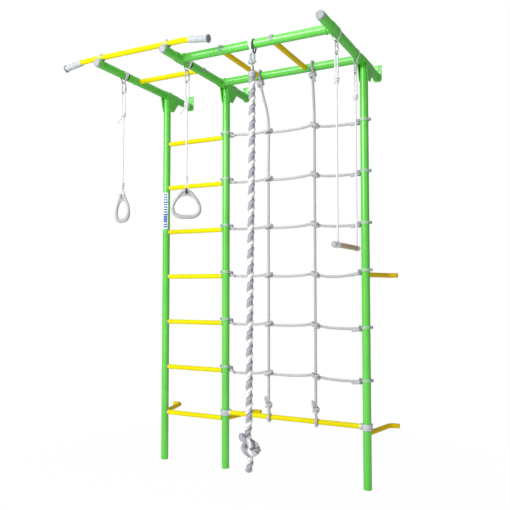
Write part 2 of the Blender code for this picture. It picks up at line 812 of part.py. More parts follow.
for number, (x, top_x) in enumerate(zip(net_line_x, net_line_top_x), start=1):
    low_knot = (x, net_line_y, net_bar_z + net_line_knot_low)
    high_knot = (top_x, rear_rail_y, beam_z - net_line_knot_high)
    route = [low_knot, (x, net_line_y, row_levels[0] - 0.05), (x, net_line_y, row_levels[-1] + 0.06),
             high_knot]
    line = pipe(route, net_rope_r, sides=net_sides)
    line = fuse(line, tie((x, 0, net_bar_z), rung_r, bar_sides, net_bar_phase))
    line = fuse(line, ball((x, net_line_y + 0.003, low_knot[2]), knot_radii))
    line = fuse(line, tie((top_x, rear_rail_y, beam_z), frame_r, frame_sides, 0.0))
    line = fuse(line, ball(high_knot, knot_radii))
    for knot, tail in ((low_knot, net_tail_low), (high_knot, net_tail_high)):
        start = Vector(knot) + 0.1 * Vector((0, 0, tail[2]))
        line = fuse(line, pipe((start, Vector(knot) + Vector(tail)), net_tail_r, sides=cord_sides))
    finish(line, "net_line_" + str(number), net_grey, low_knot)


# slings and links that the hanging fittings share
def sling(place, sideways, along):
    """Strap over a tube, wide on top and drawn round below, where the link hangs."""
    place = Vector(place)
    big = frame_r + 0.0008 + sling_half_sheet
    spread = math.acos((big - sling_small_r) / sling_drop)
    loop = []
    widths = []
    steps = 8
    for step in range(steps + 1):
        angle = -math.pi / 2 + spread + (2 * math.pi - 2 * spread) * step / steps
        loop.append(place + big * (math.cos(angle) * sideways + math.sin(angle) * axis_z))
        widths.append(min(1.0, max(0.0, 0.5 + 1.1 * math.sin(angle))))
    flat_count = len(loop)
    steps = 4
    for step in range(steps + 1):
        angle = -math.pi / 2 - spread + 2 * spread * step / steps
        turned = math.cos(angle) * sideways + math.sin(angle) * axis_z
        loop.append(place - axis_z * sling_drop + sling_small_r * turned)
        widths.append(0.0)

    def section(i):
        share = widths[i]
        half_sheet = sling_half_sheet if i < flat_count else sling_eye
        half_width = sling_eye + (sling_half_width - sling_eye) * share
        out = half_sheet * (0.87 + 0.13 * share)
        side = half_width * (0.5 + 0.35 * share)
        return [(out, -side), (out, side), (0, half_width), (-out, side), (-out, -side), (0, -half_width)]

    return hoop(loop, along, section)


def hook_height(bar_height):
    """Height of the sling's lowest centre line, about which the link swings."""
    return bar_height - sling_drop - sling_small_r


def link(top, sideways, along, height):
    """Oval link; top is the centre of its upper wire, sideways the way it is wide."""
    top = Vector(top)
    loop = []
    steps = 2
    half = link_half_width - link_corner
    low = -(height - link_corner)
    centres = ((half, -link_corner), (-half, -link_corner), (-half, low), (half, low))
    for index, (centre_side, centre_z) in enumerate(centres):
        for step in range(steps + 1):
            angle = math.pi / 2 * (index + step / steps)
            loop.append(top + sideways * (centre_side + link_corner * math.cos(angle))
                        + axis_z * (centre_z + link_corner * math.sin(angle)))
    return hoop(loop, along, lambda i: oval(link_wire, link_wire, cord_sides))


def hang(prefix, x, y, parent, with_sling=True):
    """Sling on a beam that runs along Y, and the link in it."""
    hook = hook_height(beam_z)
    finish(sling((x, y, beam_z), axis_x, axis_y), prefix + "_sling", webbing, (x, y, beam_z), parent)
    wire = hook + sling_eye + link_wire + link_clear
    hung = link((x, y, wire), axis_y, axis_x, link_height)
    finish(hung, prefix + "_link", steel, (x, y, hook), prefix + "_sling")
    return hook, wire - link_height


# rings: sling on the beam, link, cord and ring
def hung_cord_route(x, y, wire_z, end_z):
    """From the foot up to the link, over its lower wire, and back to the knot and tail."""
    knot_z = wire_z - cord_loop_length
    half = cord_loop_half
    route = [(x, y, end_z), (x, y, knot_z - 0.03), (x + 0.4 * half, y, knot_z),
             (x + half, y, knot_z + 0.025), (x + half, y, wire_z)]
    for turn in (45, 90, 135):
        angle = math.radians(turn)
        route.append((x + half * math.cos(angle), y, wire_z + half * math.sin(angle)))
    tail_x = x - half
    route += [(tail_x, y, wire_z), (tail_x, y, knot_z + 0.025), (tail_x - 0.1 * cord_tail[0], y, knot_z),
              (tail_x - cord_tail[0], y, knot_z - cord_tail[1])]
    return route


def ring_shape(x, y, turn):
    across = Vector((math.cos(turn), math.sin(turn), 0))
    through = Vector((-math.sin(turn), math.cos(turn), 0))
    apex = Vector((x, y, ring_apex_z))
    outline = [(0.0, 0.0), *ring_outline, (0.0, ring_outline[-1][1])]
    half = smooth_route([(a, 0, b) for a, b in outline], 2)
    points = half + [Vector((-point.x, 0, point.z)) for point in reversed(half[1:-1])]
    lowest = ring_outline[-1][1]

    def section(i):
        share = max(0.0, min(1.0, 2.5 * points[i].z / lowest - 1.5))
        radius = ring_wire + (ring_grip - ring_wire) * share
        return oval(radius, radius, cord_sides)

    body = hoop([apex + across * point.x + axis_z * point.z for point in points], through, section)
    web = []
    for side in (-1, 1):
        corners = ((-1, ring_web_high), (1, ring_web_high), (1, ring_web_low), (-1, ring_web_low))
        for way, (reach, z) in corners:
            web.append(apex + across * way * reach + through * side * ring_web_half + axis_z * z)
    faces = [(0, 1, 2, 3), (4, 5, 6, 7)]
    bridge(faces, 0, 4, 4)
    return fuse(body, solid(web, faces))


for side, x, turn in (("left", left_x, ring_turn_left), ("middle", middle_x, ring_turn_middle)):
    prefix = "ring_" + side
    hook, wire = hang(prefix, x, ring_y, "root")
    foot = ring_apex_z + ring_wire + cord_end_gap
    route = hung_cord_route(x, ring_y, wire, foot)
    cord(prefix + "_cord", route, ring_cord_r, cord_white, (x, ring_y, hook), prefix + "_link")
    finish(ring_shape(x, ring_y, turn), prefix, ring_grey, (x, ring_y, ring_apex_z), prefix + "_cord")


# trapeze: two slings on the right beam, a link and a cord under each, and the bar
for end, y in (("front", trapeze_y[0]), ("rear", trapeze_y[1])):
    prefix = "trapeze_" + end
    hook, wire = hang(prefix, right_x, y, "root")
    foot = trapeze_bar_z + trapeze_bar_r - trapeze_groove + cord_end_gap
    route = hung_cord_route(right_x, y, wire, foot)
    cord(prefix + "_cord", route, ring_cord_r, cord_white, (right_x, y, hook), prefix + "_link")
length = trapeze_bar_y[1] - trapeze_bar_y[0]
profile = [(0, 0), (trapeze_bar_r - trapeze_bar_round, 0), (trapeze_bar_r, trapeze_bar_round)]
for y in trapeze_y:
    place = y - trapeze_bar_y[0]
    profile += [(trapeze_bar_r, place - 0.014), (trapeze_bar_r - trapeze_groove, place - 0.012),
                (trapeze_bar_r - trapeze_groove, place + 0.012), (trapeze_bar_r, place + 0.014)]
profile += [(trapeze_bar_r, length - trapeze_bar_round), (trapeze_bar_r - trapeze_bar_round, length),
            (0, length)]
bar = revolve(profile, (right_x, trapeze_bar_y[0], trapeze_bar_z), axis_y, bar_sides)
pivot = trapeze_bar_z + trapeze_bar_r - trapeze_groove + trapeze_pivot_rise
finish(bar, "trapeze_bar", beech, (right_x, trapeze_y[0], pivot), "trapeze_front_cord")


# climbing rope: sling on the front rail, link, eye and the knotted rope
rope_hook = hook_height(beam_z)
rope_place = Vector((rope_top_x, front_rail_y, beam_z))
finish(sling(rope_place, axis_y, -axis_x), "rope_sling", webbing, rope_place)
rope_wire = rope_hook + sling_eye + link_wire + link_clear
finish(link((rope_top_x, front_rail_y, rope_wire), axis_x, -axis_y, rope_link_height), "rope_link", steel,
       (rope_top_x, front_rail_y, rope_hook), "rope_sling")
eye_rise = 2 * link_wire + link_clear - rope_eye_r
eye_centre = Vector((rope_top_x, front_rail_y, rope_wire - rope_link_height + eye_rise))
eye_loop = []
eye_steps = 6
for step in range(eye_steps + 1):
    angle = math.pi * step / eye_steps
    eye_loop.append(eye_centre + rope_eye_r * (math.cos(angle) * axis_y + math.sin(angle) * axis_z))
low_centre = eye_centre - axis_z * (rope_eye_height - 2 * rope_eye_r)
for step in range(eye_steps + 1):
    angle = math.pi + math.pi * step / eye_steps
    eye_loop.append(low_centre + rope_eye_r * (math.cos(angle) * axis_y + math.sin(angle) * axis_z))
eye = hoop(eye_loop, axis_x, lambda i: oval(link_wire, link_wire, cord_sides))
eye_foot = low_centre.z - rope_eye_r
stem_low = eye_foot - rope_stem
rope_top_z = stem_low - gap
stem_top = rope_stem + 0.001
stem_profile = ((0, 0), (rope_cap_r, 0), (rope_cap_r, 0.75 * rope_cap), (rope_stem_r, rope_cap),
                (rope_stem_r, stem_top), (0, stem_top))
stem = revolve(stem_profile, (rope_top_x, front_rail_y, stem_low), axis_z, bar_sides)
finish(fuse(eye, stem), "rope_eye", steel, (rope_top_x, front_rail_y, rope_hook), "rope_link")

knot_points = [Vector(point) * rope_knot_scale for point in rope_knot_half]
knot_points += [Vector((-point.x, point.y, -point.z)) for point in reversed(knot_points)]
knot_centre = Vector((rope_low_x, front_rail_y, rope_knot_z))
rope_route = [Vector((rope_top_x, front_rail_y, rope_top_z))]
steps = 8
low = knot_centre.z + 0.11
for step in range(1, steps + 1):
    share = step / steps
    lean = share * share * (3 - 2 * share)
    rope_route.append(Vector((rope_top_x + (rope_low_x - rope_top_x) * lean, front_rail_y,
                              rope_top_z + (low - rope_top_z) * share)))
rope_knot = smooth_route([rope_route[-1], *(knot_centre + point for point in knot_points),
                          Vector((rope_low_x + 0.003, front_rail_y, (rope_end_z + rope_knot_z - 0.06) / 2)),
                          Vector((rope_low_x - 0.002, front_rail_y, rope_end_z))], 2)
cord("climbing_rope", rope_route[:-1] + rope_knot, rope_r, rope_grey, (rope_top_x, front_rail_y, rope_hook),
     "rope_eye")
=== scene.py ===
# Wall bars with monkey bars: the visible model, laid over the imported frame.
# Lengths are metres. Places are written from the floor below the middle upright, as in a
# workshop drawing, and at() turns them into the frame's own coordinates.
import math

import bmesh
import bpy
from mathutils import Matrix, Vector


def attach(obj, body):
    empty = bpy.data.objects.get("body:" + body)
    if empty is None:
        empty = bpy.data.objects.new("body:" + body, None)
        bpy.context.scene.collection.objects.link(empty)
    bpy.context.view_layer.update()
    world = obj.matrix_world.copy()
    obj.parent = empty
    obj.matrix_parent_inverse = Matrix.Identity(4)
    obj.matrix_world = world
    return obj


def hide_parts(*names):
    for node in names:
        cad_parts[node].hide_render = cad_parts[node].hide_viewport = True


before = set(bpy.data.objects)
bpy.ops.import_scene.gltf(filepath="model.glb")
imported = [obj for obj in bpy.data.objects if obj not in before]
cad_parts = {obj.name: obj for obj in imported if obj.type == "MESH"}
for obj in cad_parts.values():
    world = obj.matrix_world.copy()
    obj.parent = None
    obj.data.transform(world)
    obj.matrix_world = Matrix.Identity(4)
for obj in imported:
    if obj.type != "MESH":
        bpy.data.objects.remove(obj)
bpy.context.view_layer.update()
scene = bpy.context.scene
print("frame loaded:", len(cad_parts), "nodes")

layout = dict(leftX=-0.434, middleX=0.0, rightX=0.860, beamZ=2.284, frontY=-0.655, wallY=0.270,
              plateMiddle=0.0215, tubeRadius=0.02225, barRadius=0.014, clearance=0.0003)
xAxis, yAxis, zAxis = Vector((1, 0, 0)), Vector((0, 1, 0)), Vector((0, 0, 1))
origin = Vector((layout["middleX"], layout["wallY"], layout["beamZ"] + layout["plateMiddle"]))
beamX = {"left": layout["leftX"], "middle": layout["middleX"], "right": layout["rightX"]}
beamZ, tubeRadius, barRadius = layout["beamZ"], layout["tubeRadius"], layout["barRadius"]
tubeFit = tubeRadius + layout["clearance"]  # bore of what sits on a tube


def at(x, y, z):
    return Vector((x, y, z)) - origin


# camera
cameraView = dict(place=(1.8199, -3.194, 1.0602), tilt=93.04, turn=26.96, lens=43.29)
bpy.ops.object.select_all(action="DESELECT")
bpy.ops.object.camera_add(location=at(*cameraView["place"]),
                          rotation=(math.radians(cameraView["tilt"]), 0, math.radians(cameraView["turn"])))
camera = bpy.context.object
camera.name = "viewCamera"
camera.data.lens = cameraView["lens"]
camera.data.sensor_width = 36.0
camera.data.clip_end = 60.0
scene.camera = camera
print("camera placed")


# shader node helpers
def addNode(tree, kind, **values):
    node = tree.nodes.new(kind)
    for key, value in values.items():
        setattr(node, key, value)
    return node


def join(tree, source, target):
    tree.links.new(source, target)


def feed(tree, value, socket):
    # a number or a colour is set on the socket itself, an output is linked to it
    if isinstance(value, (int, float)):
        socket.default_value = value
    elif isinstance(value, tuple):
        socket.default_value = (*value, 1.0)
    else:
        join(tree, value, socket)


def mathNode(tree, operation, *values):
    node = addNode(tree, "ShaderNodeMath", operation=operation)
    for socket, value in zip(node.inputs, values):
        feed(tree, value, socket)
    return node.outputs[0]


def mixColours(tree, factor, first, second):
    node = addNode(tree, "ShaderNodeMix", data_type="RGBA")
    for index, value in ((0, factor), (6, first), (7, second)):
        feed(tree, value, node.inputs[index])
    return node.outputs[2]


def noiseMask(tree, vector, scale, detail, low, high):
    noise = addNode(tree, "ShaderNodeTexNoise")
    noise.inputs["Detail"].default_value = detail
    join(tree, vector, noise.inputs["Vector"])
    feed(tree, scale, noise.inputs["Scale"])
    spread = addNode(tree, "ShaderNodeMapRange", interpolation_type="SMOOTHSTEP")
    spread.inputs["From Min"].default_value = low
    spread.inputs["From Max"].default_value = high
    join(tree, noise.outputs["Fac"], spread.inputs["Value"])
    return spread.outputs["Result"]


def splitVector(tree, vector):
    parts = addNode(tree, "ShaderNodeSeparateXYZ")
    join(tree, vector, parts.inputs[0])
    return parts.outputs


def bumpNormal(tree, distance, strength, height):
    bump = addNode(tree, "ShaderNodeBump")
    bump.inputs["Distance"].default_value = distance
    join(tree, strength, bump.inputs["Strength"])
    join(tree, height, bump.inputs["Height"])
    return bump.outputs["Normal"]


def newGroup(name, inputs, outputs):
    tree = bpy.data.node_groups.new(name, "ShaderNodeTree")
    for socketName, kind, default in inputs:
        socket = tree.interface.new_socket(socketName, in_out="INPUT", socket_type="NodeSocket" + kind)
        if default is not None:
            socket.default_value = default
    for socketName, kind in outputs:
        tree.interface.new_socket(socketName, in_out="OUTPUT", socket_type="NodeSocket" + kind)
    return tree, addNode(tree, "NodeGroupInput").outputs, addNode(tree, "NodeGroupOutput").inputs


def putOut(tree, made, **sources):
    for name, source in sources.items():
        join(tree, source, made[name])
    return tree


def makeFinishGroup():
    # uneven colour, uneven gloss and a fine surface texture, shared by paints, plastics and metals
    tree, given, made = newGroup("unevenFinish",
                                 (("Vector", "Vector", None), ("Patch Scale", "Float", 4.0), ("Grain Scale", "Float", 500.0),
                                  ("Grain Strength", "Float", 0.1), ("Rub Scale", "Float", 30.0)),
                                 (("Patches", "Float"), ("Rub", "Float"), ("Normal", "Vector")))
    patches = noiseMask(tree, given["Vector"], given["Patch Scale"], 3.0, 0.35, 0.65)
    rub = noiseMask(tree, given["Vector"], given["Rub Scale"], 4.0, 0.52, 0.72)
    grain = noiseMask(tree, given["Vector"], given["Grain Scale"], 2.0, 0.2, 0.8)
    normal = bumpNormal(tree, 0.0004, given["Grain Strength"], grain)
    return putOut(tree, made, Patches=patches, Rub=rub, Normal=normal)


def makeYarnGroup():
    # yarns that run slantwise over the strands of a rope or the plaits of a cord
    fuzzAround, fuzzAlong = 40.0, 700.0
    tree, given, made = newGroup("yarnTwist",
                                 (("UV", "Vector", None), ("Yarns Around", "Float", 18.0), ("Yarns Along", "Float", 260.0),
                                  ("Strength", "Float", 0.5)),
                                 (("Yarn", "Float"), ("Fuzz", "Float"), ("Normal", "Vector")))
    parts = splitVector(tree, given["UV"])
    around = mathNode(tree, "MULTIPLY", parts["X"], given["Yarns Around"])
    along = mathNode(tree, "MULTIPLY", parts["Y"], given["Yarns Along"])
    wave = mathNode(tree, "SINE", mathNode(tree, "MULTIPLY", mathNode(tree, "ADD", around, along), 2 * math.pi))
    yarn = mathNode(tree, "MULTIPLY_ADD", wave, 0.5, 0.5)
    stretched = addNode(tree, "ShaderNodeCombineXYZ")
    join(tree, mathNode(tree, "MULTIPLY", parts["X"], fuzzAround), stretched.inputs["X"])
    join(tree, mathNode(tree, "MULTIPLY", parts["Y"], fuzzAlong), stretched.inputs["Y"])
    fuzz = noiseMask(tree, stretched.outputs[0], 1.0, 3.0, 0.3, 0.7)
    normal = bumpNormal(tree, 0.0005, given["Strength"], mathNode(tree, "MULTIPLY_ADD", fuzz, 0.35, yarn))
    return putOut(tree, made, Yarn=yarn, Fuzz=fuzz, Normal=normal)


def makeWeaveGroup():
    # over-and-under weave of a flat tape, from its UV in metres
    tree, given, made = newGroup("tapeWeave",
                                 (("UV", "Vector", None), ("Threads", "Float", 700.0), ("Strength", "Float", 0.6)),
                                 (("Weave", "Float"), ("Normal", "Vector")))
    parts = splitVector(tree, given["UV"])
    waves = []
    for axis in ("X", "Y"):
        turns = mathNode(tree, "MULTIPLY", parts[axis], given["Threads"])
        waves.append(mathNode(tree, "SINE", mathNode(tree, "MULTIPLY", turns, 2 * math.pi)))
    weave = mathNode(tree, "MULTIPLY_ADD", mathNode(tree, "MULTIPLY", *waves), 0.5, 0.5)
    return putOut(tree, made, Weave=weave, Normal=bumpNormal(tree, 0.0004, given["Strength"], weave))


def makeGrainGroup():
    # wood grain: long streaks along Y and darker pores
    tree, given, made = newGroup("woodGrain",
                                 (("Vector", "Vector", None), ("Streaks", "Float", 160.0), ("Strength", "Float", 0.2)),
                                 (("Streak", "Float"), ("Pores", "Float"), ("Normal", "Vector")))
    stretch = addNode(tree, "ShaderNodeMapping")
    stretch.inputs["Scale"].default_value = (1.0, 0.06, 1.0)
    join(tree, given["Vector"], stretch.inputs["Vector"])
    streak = noiseMask(tree, stretch.outputs[0], given["Streaks"], 5.0, 0.3, 0.7)
    pores = noiseMask(tree, stretch.outputs[0], 900.0, 2.0, 0.55, 0.75)
    normal = bumpNormal(tree, 0.0003, given["Strength"], mathNode(tree, "SUBTRACT", streak, pores))
    return putOut(tree, made, Streak=streak, Pores=pores, Normal=normal)


finishGroup, yarnGroup, weaveGroup, grainGroup = makeFinishGroup(), makeYarnGroup(), makeWeaveGroup(), makeGrainGroup()


def useGroup(tree, group, vector, socketName="Vector", **values):
    node = addNode(tree, "ShaderNodeGroup", node_tree=group)
    join(tree, vector, node.inputs[socketName])
    for key, value in values.items():
        node.inputs[key.replace("_", " ")].default_value = value
    return node.outputs


def newMaterial(name, roughness, **shaderValues):
    material = bpy.data.materials.new(name)
    material.use_nodes = True
    shader = material.node_tree.nodes["Principled BSDF"]
    shader.inputs["Roughness"].default_value = roughness
    for key, value in shaderValues.items():
        shader.inputs[key.replace("_", " ")].default_value = value
    return material, material.node_tree, shader, addNode(material.node_tree, "ShaderNodeTexCoord").outputs


def dress(tree, shader, colour, mask, gloss, normal=None):
    # the last links of a material: its colour, its roughness between the two gloss values, and its texture
    spread = addNode(tree, "ShaderNodeMapRange")
    spread.inputs["To Min"].default_value, spread.inputs["To Max"].default_value = gloss
    join(tree, mask, spread.inputs["Value"])
    join(tree, colour, shader.inputs["Base Color"])
    join(tree, spread.outputs["Result"], shader.inputs["Roughness"])
    if normal is not None:
        join(tree, normal, shader.inputs["Normal"])


def smoothFinish(name, colour, deep, rubbed, gloss, rub=0.5, rubScale=60.0, patch=20.0, grain=900.0, texture=0.2,
                 metal=0.0, shine=0.3):
    # powder coat, plastic or metal: two close colours and a third one where it is rubbed
    material, tree, shader, place = newMaterial(name, gloss[0], Metallic=metal, Specular_IOR_Level=shine)
    finish = useGroup(tree, finishGroup, place["Object"], Patch_Scale=patch, Grain_Scale=grain, Grain_Strength=texture,
                      Rub_Scale=rubScale)
    base = mixColours(tree, finish["Patches"], colour, deep)
    base = mixColours(tree, mathNode(tree, "MULTIPLY", finish["Rub"], rub), base, rubbed)
    dress(tree, shader, base, finish["Rub"], gloss, finish["Normal"])
    return material


def ropeFinish(name, strands, dark, light, valley, edge, yarnShade, around, along, strength):
    # laid rope or plaited cord; strands may have their own colours
    material, tree, shader, place = newMaterial(name, 0.8, Sheen_Weight=0.1, Sheen_Roughness=0.5)
    yarns = useGroup(tree, yarnGroup, place["UV"], "UV", Yarns_Around=around, Yarns_Along=along, Strength=strength)
    strand = mathNode(tree, "MULTIPLY", splitVector(tree, place["UV"])["X"], float(len(strands)))
    colour = strands[0]
    for number, shade in enumerate(strands[1:], start=1):
        colour = mixColours(tree, mathNode(tree, "GREATER_THAN", strand, float(number)), colour, shade)
    # painted shade: the valleys between strands are darkened
    lobe = mathNode(tree, "ABSOLUTE", mathNode(tree, "SUBTRACT", mathNode(tree, "FRACT", strand), 0.5))
    dip = mathNode(tree, "POWER", mathNode(tree, "SMOOTH_MIN", mathNode(tree, "MULTIPLY", lobe, 2.0), 1.0, 0.1), edge)
    colour = mixColours(tree, mathNode(tree, "MULTIPLY", dip, valley), colour, dark)
    # painted shade: the grooves between the yarns are darkened
    between = mathNode(tree, "SUBTRACT", 1.0, yarns["Yarn"])
    colour = mixColours(tree, mathNode(tree, "MULTIPLY", between, yarnShade), colour, dark)
    colour = mixColours(tree, mathNode(tree, "MULTIPLY", yarns["Fuzz"], 0.12), colour, light)
    dress(tree, shader, colour, yarns["Fuzz"], (0.72, 0.9), yarns["Normal"])
    return material


def tapeFinish(name, colour, deep, soiled, threads=420.0, strength=0.6):
    material, tree, shader, place = newMaterial(name, 0.85, Sheen_Weight=0.1, Sheen_Roughness=0.5)
    weave = useGroup(tree, weaveGroup, place["UV"], "UV", Threads=threads, Strength=strength)
    finish = useGroup(tree, finishGroup, place["Object"], Patch_Scale=25.0, Grain_Scale=900.0, Grain_Strength=0.1)
    base = mixColours(tree, weave["Weave"], deep, colour)
    base = mixColours(tree, mathNode(tree, "MULTIPLY", finish["Patches"], 0.25), base, soiled)
    dress(tree, shader, base, weave["Weave"], (0.9, 0.75), weave["Normal"])
    return material


def woodFinish(name, colour, deep, pore, streaks=160.0, strength=0.25):
    material, tree, shader, place = newMaterial(name, 0.5, Coat_Weight=0.15, Coat_Roughness=0.35)
    grain = useGroup(tree, grainGroup, place["Object"], Streaks=streaks, Strength=strength)
    base = mixColours(tree, grain["Streak"], colour, deep)
    base = mixColours(tree, mathNode(tree, "MULTIPLY", grain["Pores"], 0.45), base, pore)
    dress(tree, shader, base, grain["Streak"], (0.42, 0.58), grain["Normal"])
    return material


# what finishes of one kind share
yellowCoat = dict(gloss=(0.40, 0.52), rub=0.3, rubScale=25.0, patch=6.0, grain=520.0, texture=0.04)
rubber = dict(rub=0.6, rubScale=45.0, patch=15.0, grain=1100.0)
netPlastic = dict(rub=0.6, rubScale=70.0, patch=25.0)
plating = dict(rubScale=120.0, patch=60.0, grain=1300.0, texture=0.05)
finishes = dict(
    green=smoothFinish("greenPowderCoat", (0.105, 0.63, 0.042), (0.090, 0.58, 0.035), (0.14, 0.66, 0.07),
                       gloss=(0.31, 0.40), rub=0.25, rubScale=22.0, patch=5.0, grain=520.0, texture=0.03, shine=0.95),
    yellow=smoothFinish("yellowPowderCoat", (0.78, 0.715, 0.001), (0.76, 0.65, 0.001), (0.82, 0.77, 0.01), shine=0.06,
                        **yellowCoat),
    # the yellow paint with painted shade: darker and more orange, for the monkey rungs and the wall feet
    yellowPaintedShade=smoothFinish("yellowPowderCoatPaintedShade", (0.82, 0.58, 0.002), (0.78, 0.52, 0.001), (0.86, 0.66, 0.02), shine=0.10,
                       **yellowCoat),
    cap=smoothFinish("greyPlastic", (0.38, 0.40, 0.42), (0.32, 0.34, 0.37), (0.46, 0.47, 0.50), gloss=(0.38, 0.55),
                     texture=0.25),
    clear=smoothFinish("greyWasher", (0.27, 0.29, 0.28), (0.22, 0.24, 0.23), (0.36, 0.38, 0.37), gloss=(0.30, 0.45)),
    grip=smoothFinish("gripRubber", (0.50, 0.53, 0.54), (0.45, 0.48, 0.49), (0.56, 0.59, 0.60), gloss=(0.50, 0.62),
                      texture=0.15, **rubber),
    gripEnd=smoothFinish("gripEndRubber", (0.25, 0.26, 0.27), (0.21, 0.22, 0.23), (0.33, 0.34, 0.35), gloss=(0.5, 0.7),
                         texture=0.5, **rubber),
    clamp=smoothFinish("clampPlastic", (0.43, 0.45, 0.48), (0.38, 0.40, 0.43), (0.56, 0.58, 0.60), gloss=(0.26, 0.42),
                       **netPlastic),
    collar=smoothFinish("collarMetal", (0.62, 0.64, 0.66), (0.55, 0.57, 0.59), (0.72, 0.73, 0.74), gloss=(0.24, 0.40),
                        patch=25.0, texture=0.12, metal=0.35),
    steel=smoothFinish("zincSteel", (0.56, 0.57, 0.59), (0.47, 0.48, 0.50), (0.66, 0.66, 0.67), gloss=(0.34, 0.46),
                       metal=0.8, **plating),
    ring=smoothFinish("ringPlastic", (0.45, 0.46, 0.47), (0.41, 0.42, 0.43), (0.52, 0.53, 0.54), gloss=(0.28, 0.42),
                      rubScale=50.0, texture=0.25, shine=0.5),
    milky=smoothFinish("milkyPlastic", (0.56, 0.60, 0.30), (0.50, 0.54, 0.25), (0.66, 0.68, 0.42), gloss=(0.30, 0.45)),
    darkSteel=smoothFinish("darkSteel", (0.27, 0.26, 0.31), (0.20, 0.19, 0.24), (0.40, 0.39, 0.43), gloss=(0.34, 0.48),
                           metal=0.6, **plating),
    # painted shade: a near-black sleeve standing for the shade in the ring's apex where the cord passes
    thimble=smoothFinish("cordSleevePaintedShade", (0.055, 0.060, 0.060), (0.040, 0.045, 0.045), (0.10, 0.11, 0.11), gloss=(0.45, 0.6),
                         rubScale=90.0, patch=30.0, grain=1200.0, texture=0.3),
    band=smoothFinish("clampBand", (0.34, 0.56, 0.33), (0.29, 0.50, 0.28), (0.46, 0.62, 0.45), gloss=(0.24, 0.40),
                      **netPlastic),
    lug=smoothFinish("clampLug", (0.25, 0.24, 0.29), (0.20, 0.19, 0.24), (0.38, 0.37, 0.41), gloss=(0.30, 0.45),
                     **netPlastic),
    netRope=ropeFinish("netRope", strands=((0.60, 0.60, 0.61), (0.57, 0.57, 0.58), (0.62, 0.62, 0.63)),
                       dark=(0.42, 0.42, 0.43), light=(0.80, 0.80, 0.81), valley=0.55, edge=2.0, yarnShade=0.25,
                       around=18.0, along=-190.0, strength=0.55),
    climbingRope=ropeFinish("climbingRope", strands=((0.90, 0.90, 0.91), (0.40, 0.39, 0.44)), dark=(0.12, 0.12, 0.14),
                            light=(0.92, 0.92, 0.93), valley=0.95, edge=5.0, yarnShade=0.20, around=28.0, along=-120.0,
                            strength=0.6),
    cord=ropeFinish("whiteCord", strands=((0.74, 0.74, 0.75), (0.73, 0.73, 0.74), (0.75, 0.75, 0.76)),
                    dark=(0.62, 0.62, 0.64), light=(0.85, 0.85, 0.86), valley=0.0, edge=2.0, yarnShade=0.12, around=8.0,
                    along=300.0, strength=0.06),
    tape=tapeFinish("whiteTape", (0.86, 0.87, 0.88), (0.68, 0.69, 0.71), (0.72, 0.72, 0.71)),
    # dark tape for the strap beside the rope's sling, and painted shade beside the ring slings
    darkTapeAndPaintedShade=tapeFinish("darkTapeAndPaintedShade", (0.045, 0.060, 0.050), (0.020, 0.028, 0.024), (0.09, 0.10, 0.09)),
    wood=woodFinish("beechWood", (0.60, 0.45, 0.29), (0.50, 0.35, 0.20), (0.30, 0.19, 0.10)),
)
print("materials made:", len(finishes))


# modelling helpers
def only(piece):
    bpy.ops.object.select_all(action="DESELECT")
    piece.select_set(True)
    bpy.context.view_layer.objects.active = piece
    return piece


def settlePlace(piece):
    # writes the piece's place, turn and size into its mesh
    only(piece)
    bpy.ops.object.transform_apply(location=True, rotation=True, scale=True)
    return piece


def addShape(operator, **values):
    bpy.ops.object.select_all(action="DESELECT")
    operator(**values)
    return settlePlace(bpy.context.object)


def pick(piece, kind, test):
    # enters edit mode with the faces or edges that pass the test chosen
    only(piece)
    bpy.ops.object.mode_set(mode="EDIT")
    bpy.ops.mesh.select_mode(type=kind)
    bpy.ops.mesh.select_all(action="DESELECT")
    shape = bmesh.from_edit_mesh(piece.data)
    for part in shape.faces if kind == "FACE" else shape.edges:
        if test(part):
            part.select_set(True)
    shape.select_flush_mode()
    bmesh.update_edit_mesh(piece.data)


def pickFaces(piece, test):
    pick(piece, "FACE", lambda face: test(face.calc_center_median(), face.normal))


def pickEdges(piece, test):
    pick(piece, "EDGE", lambda edge: test(edge.verts[0].co, edge.verts[1].co))


def leaveEdit():
    bpy.ops.object.mode_set(mode="OBJECT")


def bevelPicked(width, segments):
    bpy.ops.mesh.bevel(offset=width, segments=segments, affect="EDGES")
    leaveEdit()


def dropPicked():
    bpy.ops.mesh.delete(type="FACE")
    leaveEdit()


def modify(piece, kind, **values):
    only(piece)
    bpy.ops.object.modifier_add(type=kind)
    modifier = piece.modifiers[-1]
    for key, value in values.items():
        setattr(modifier, key, value)
    bpy.ops.object.modifier_apply(modifier=modifier.name)
    return piece


def soften(piece, width, segments=2, angle=50):
    # rounds every edge that is sharper than the angle
    return modify(piece, "BEVEL", width=width, segments=segments, limit_method="ANGLE", angle_limit=math.radians(angle))


def thicken(piece, sheet):
    return modify(piece, "SOLIDIFY", thickness=sheet, offset=0.0, use_even_offset=True)


def settleMesh(piece):
    only(piece)
    bpy.ops.object.mode_set(mode="EDIT")
    bpy.ops.mesh.select_all(action="SELECT")
    bpy.ops.mesh.remove_doubles(threshold=0.00001)
    bpy.ops.mesh.normals_make_consistent(inside=False)
    leaveEdit()
    return piece


def aim(piece, place, direction):
    # moves a piece modelled at the origin along +Z to its place
    piece.matrix_world = Matrix.Translation(Vector(place)) @ Vector(direction).to_track_quat("Z", "Y").to_matrix().to_4x4()
    return settlePlace(piece)


def fuse(pieces):
    bpy.ops.object.select_all(action="DESELECT")
    for piece in pieces:
        piece.select_set(True)
    bpy.context.view_layer.objects.active = pieces[0]
    bpy.ops.object.join()
    return bpy.context.object


def copyOf(piece):
    only(piece)
    bpy.ops.object.duplicate(linked=False)
    return bpy.context.object


def discard(piece):
    only(piece)
    bpy.ops.object.delete()


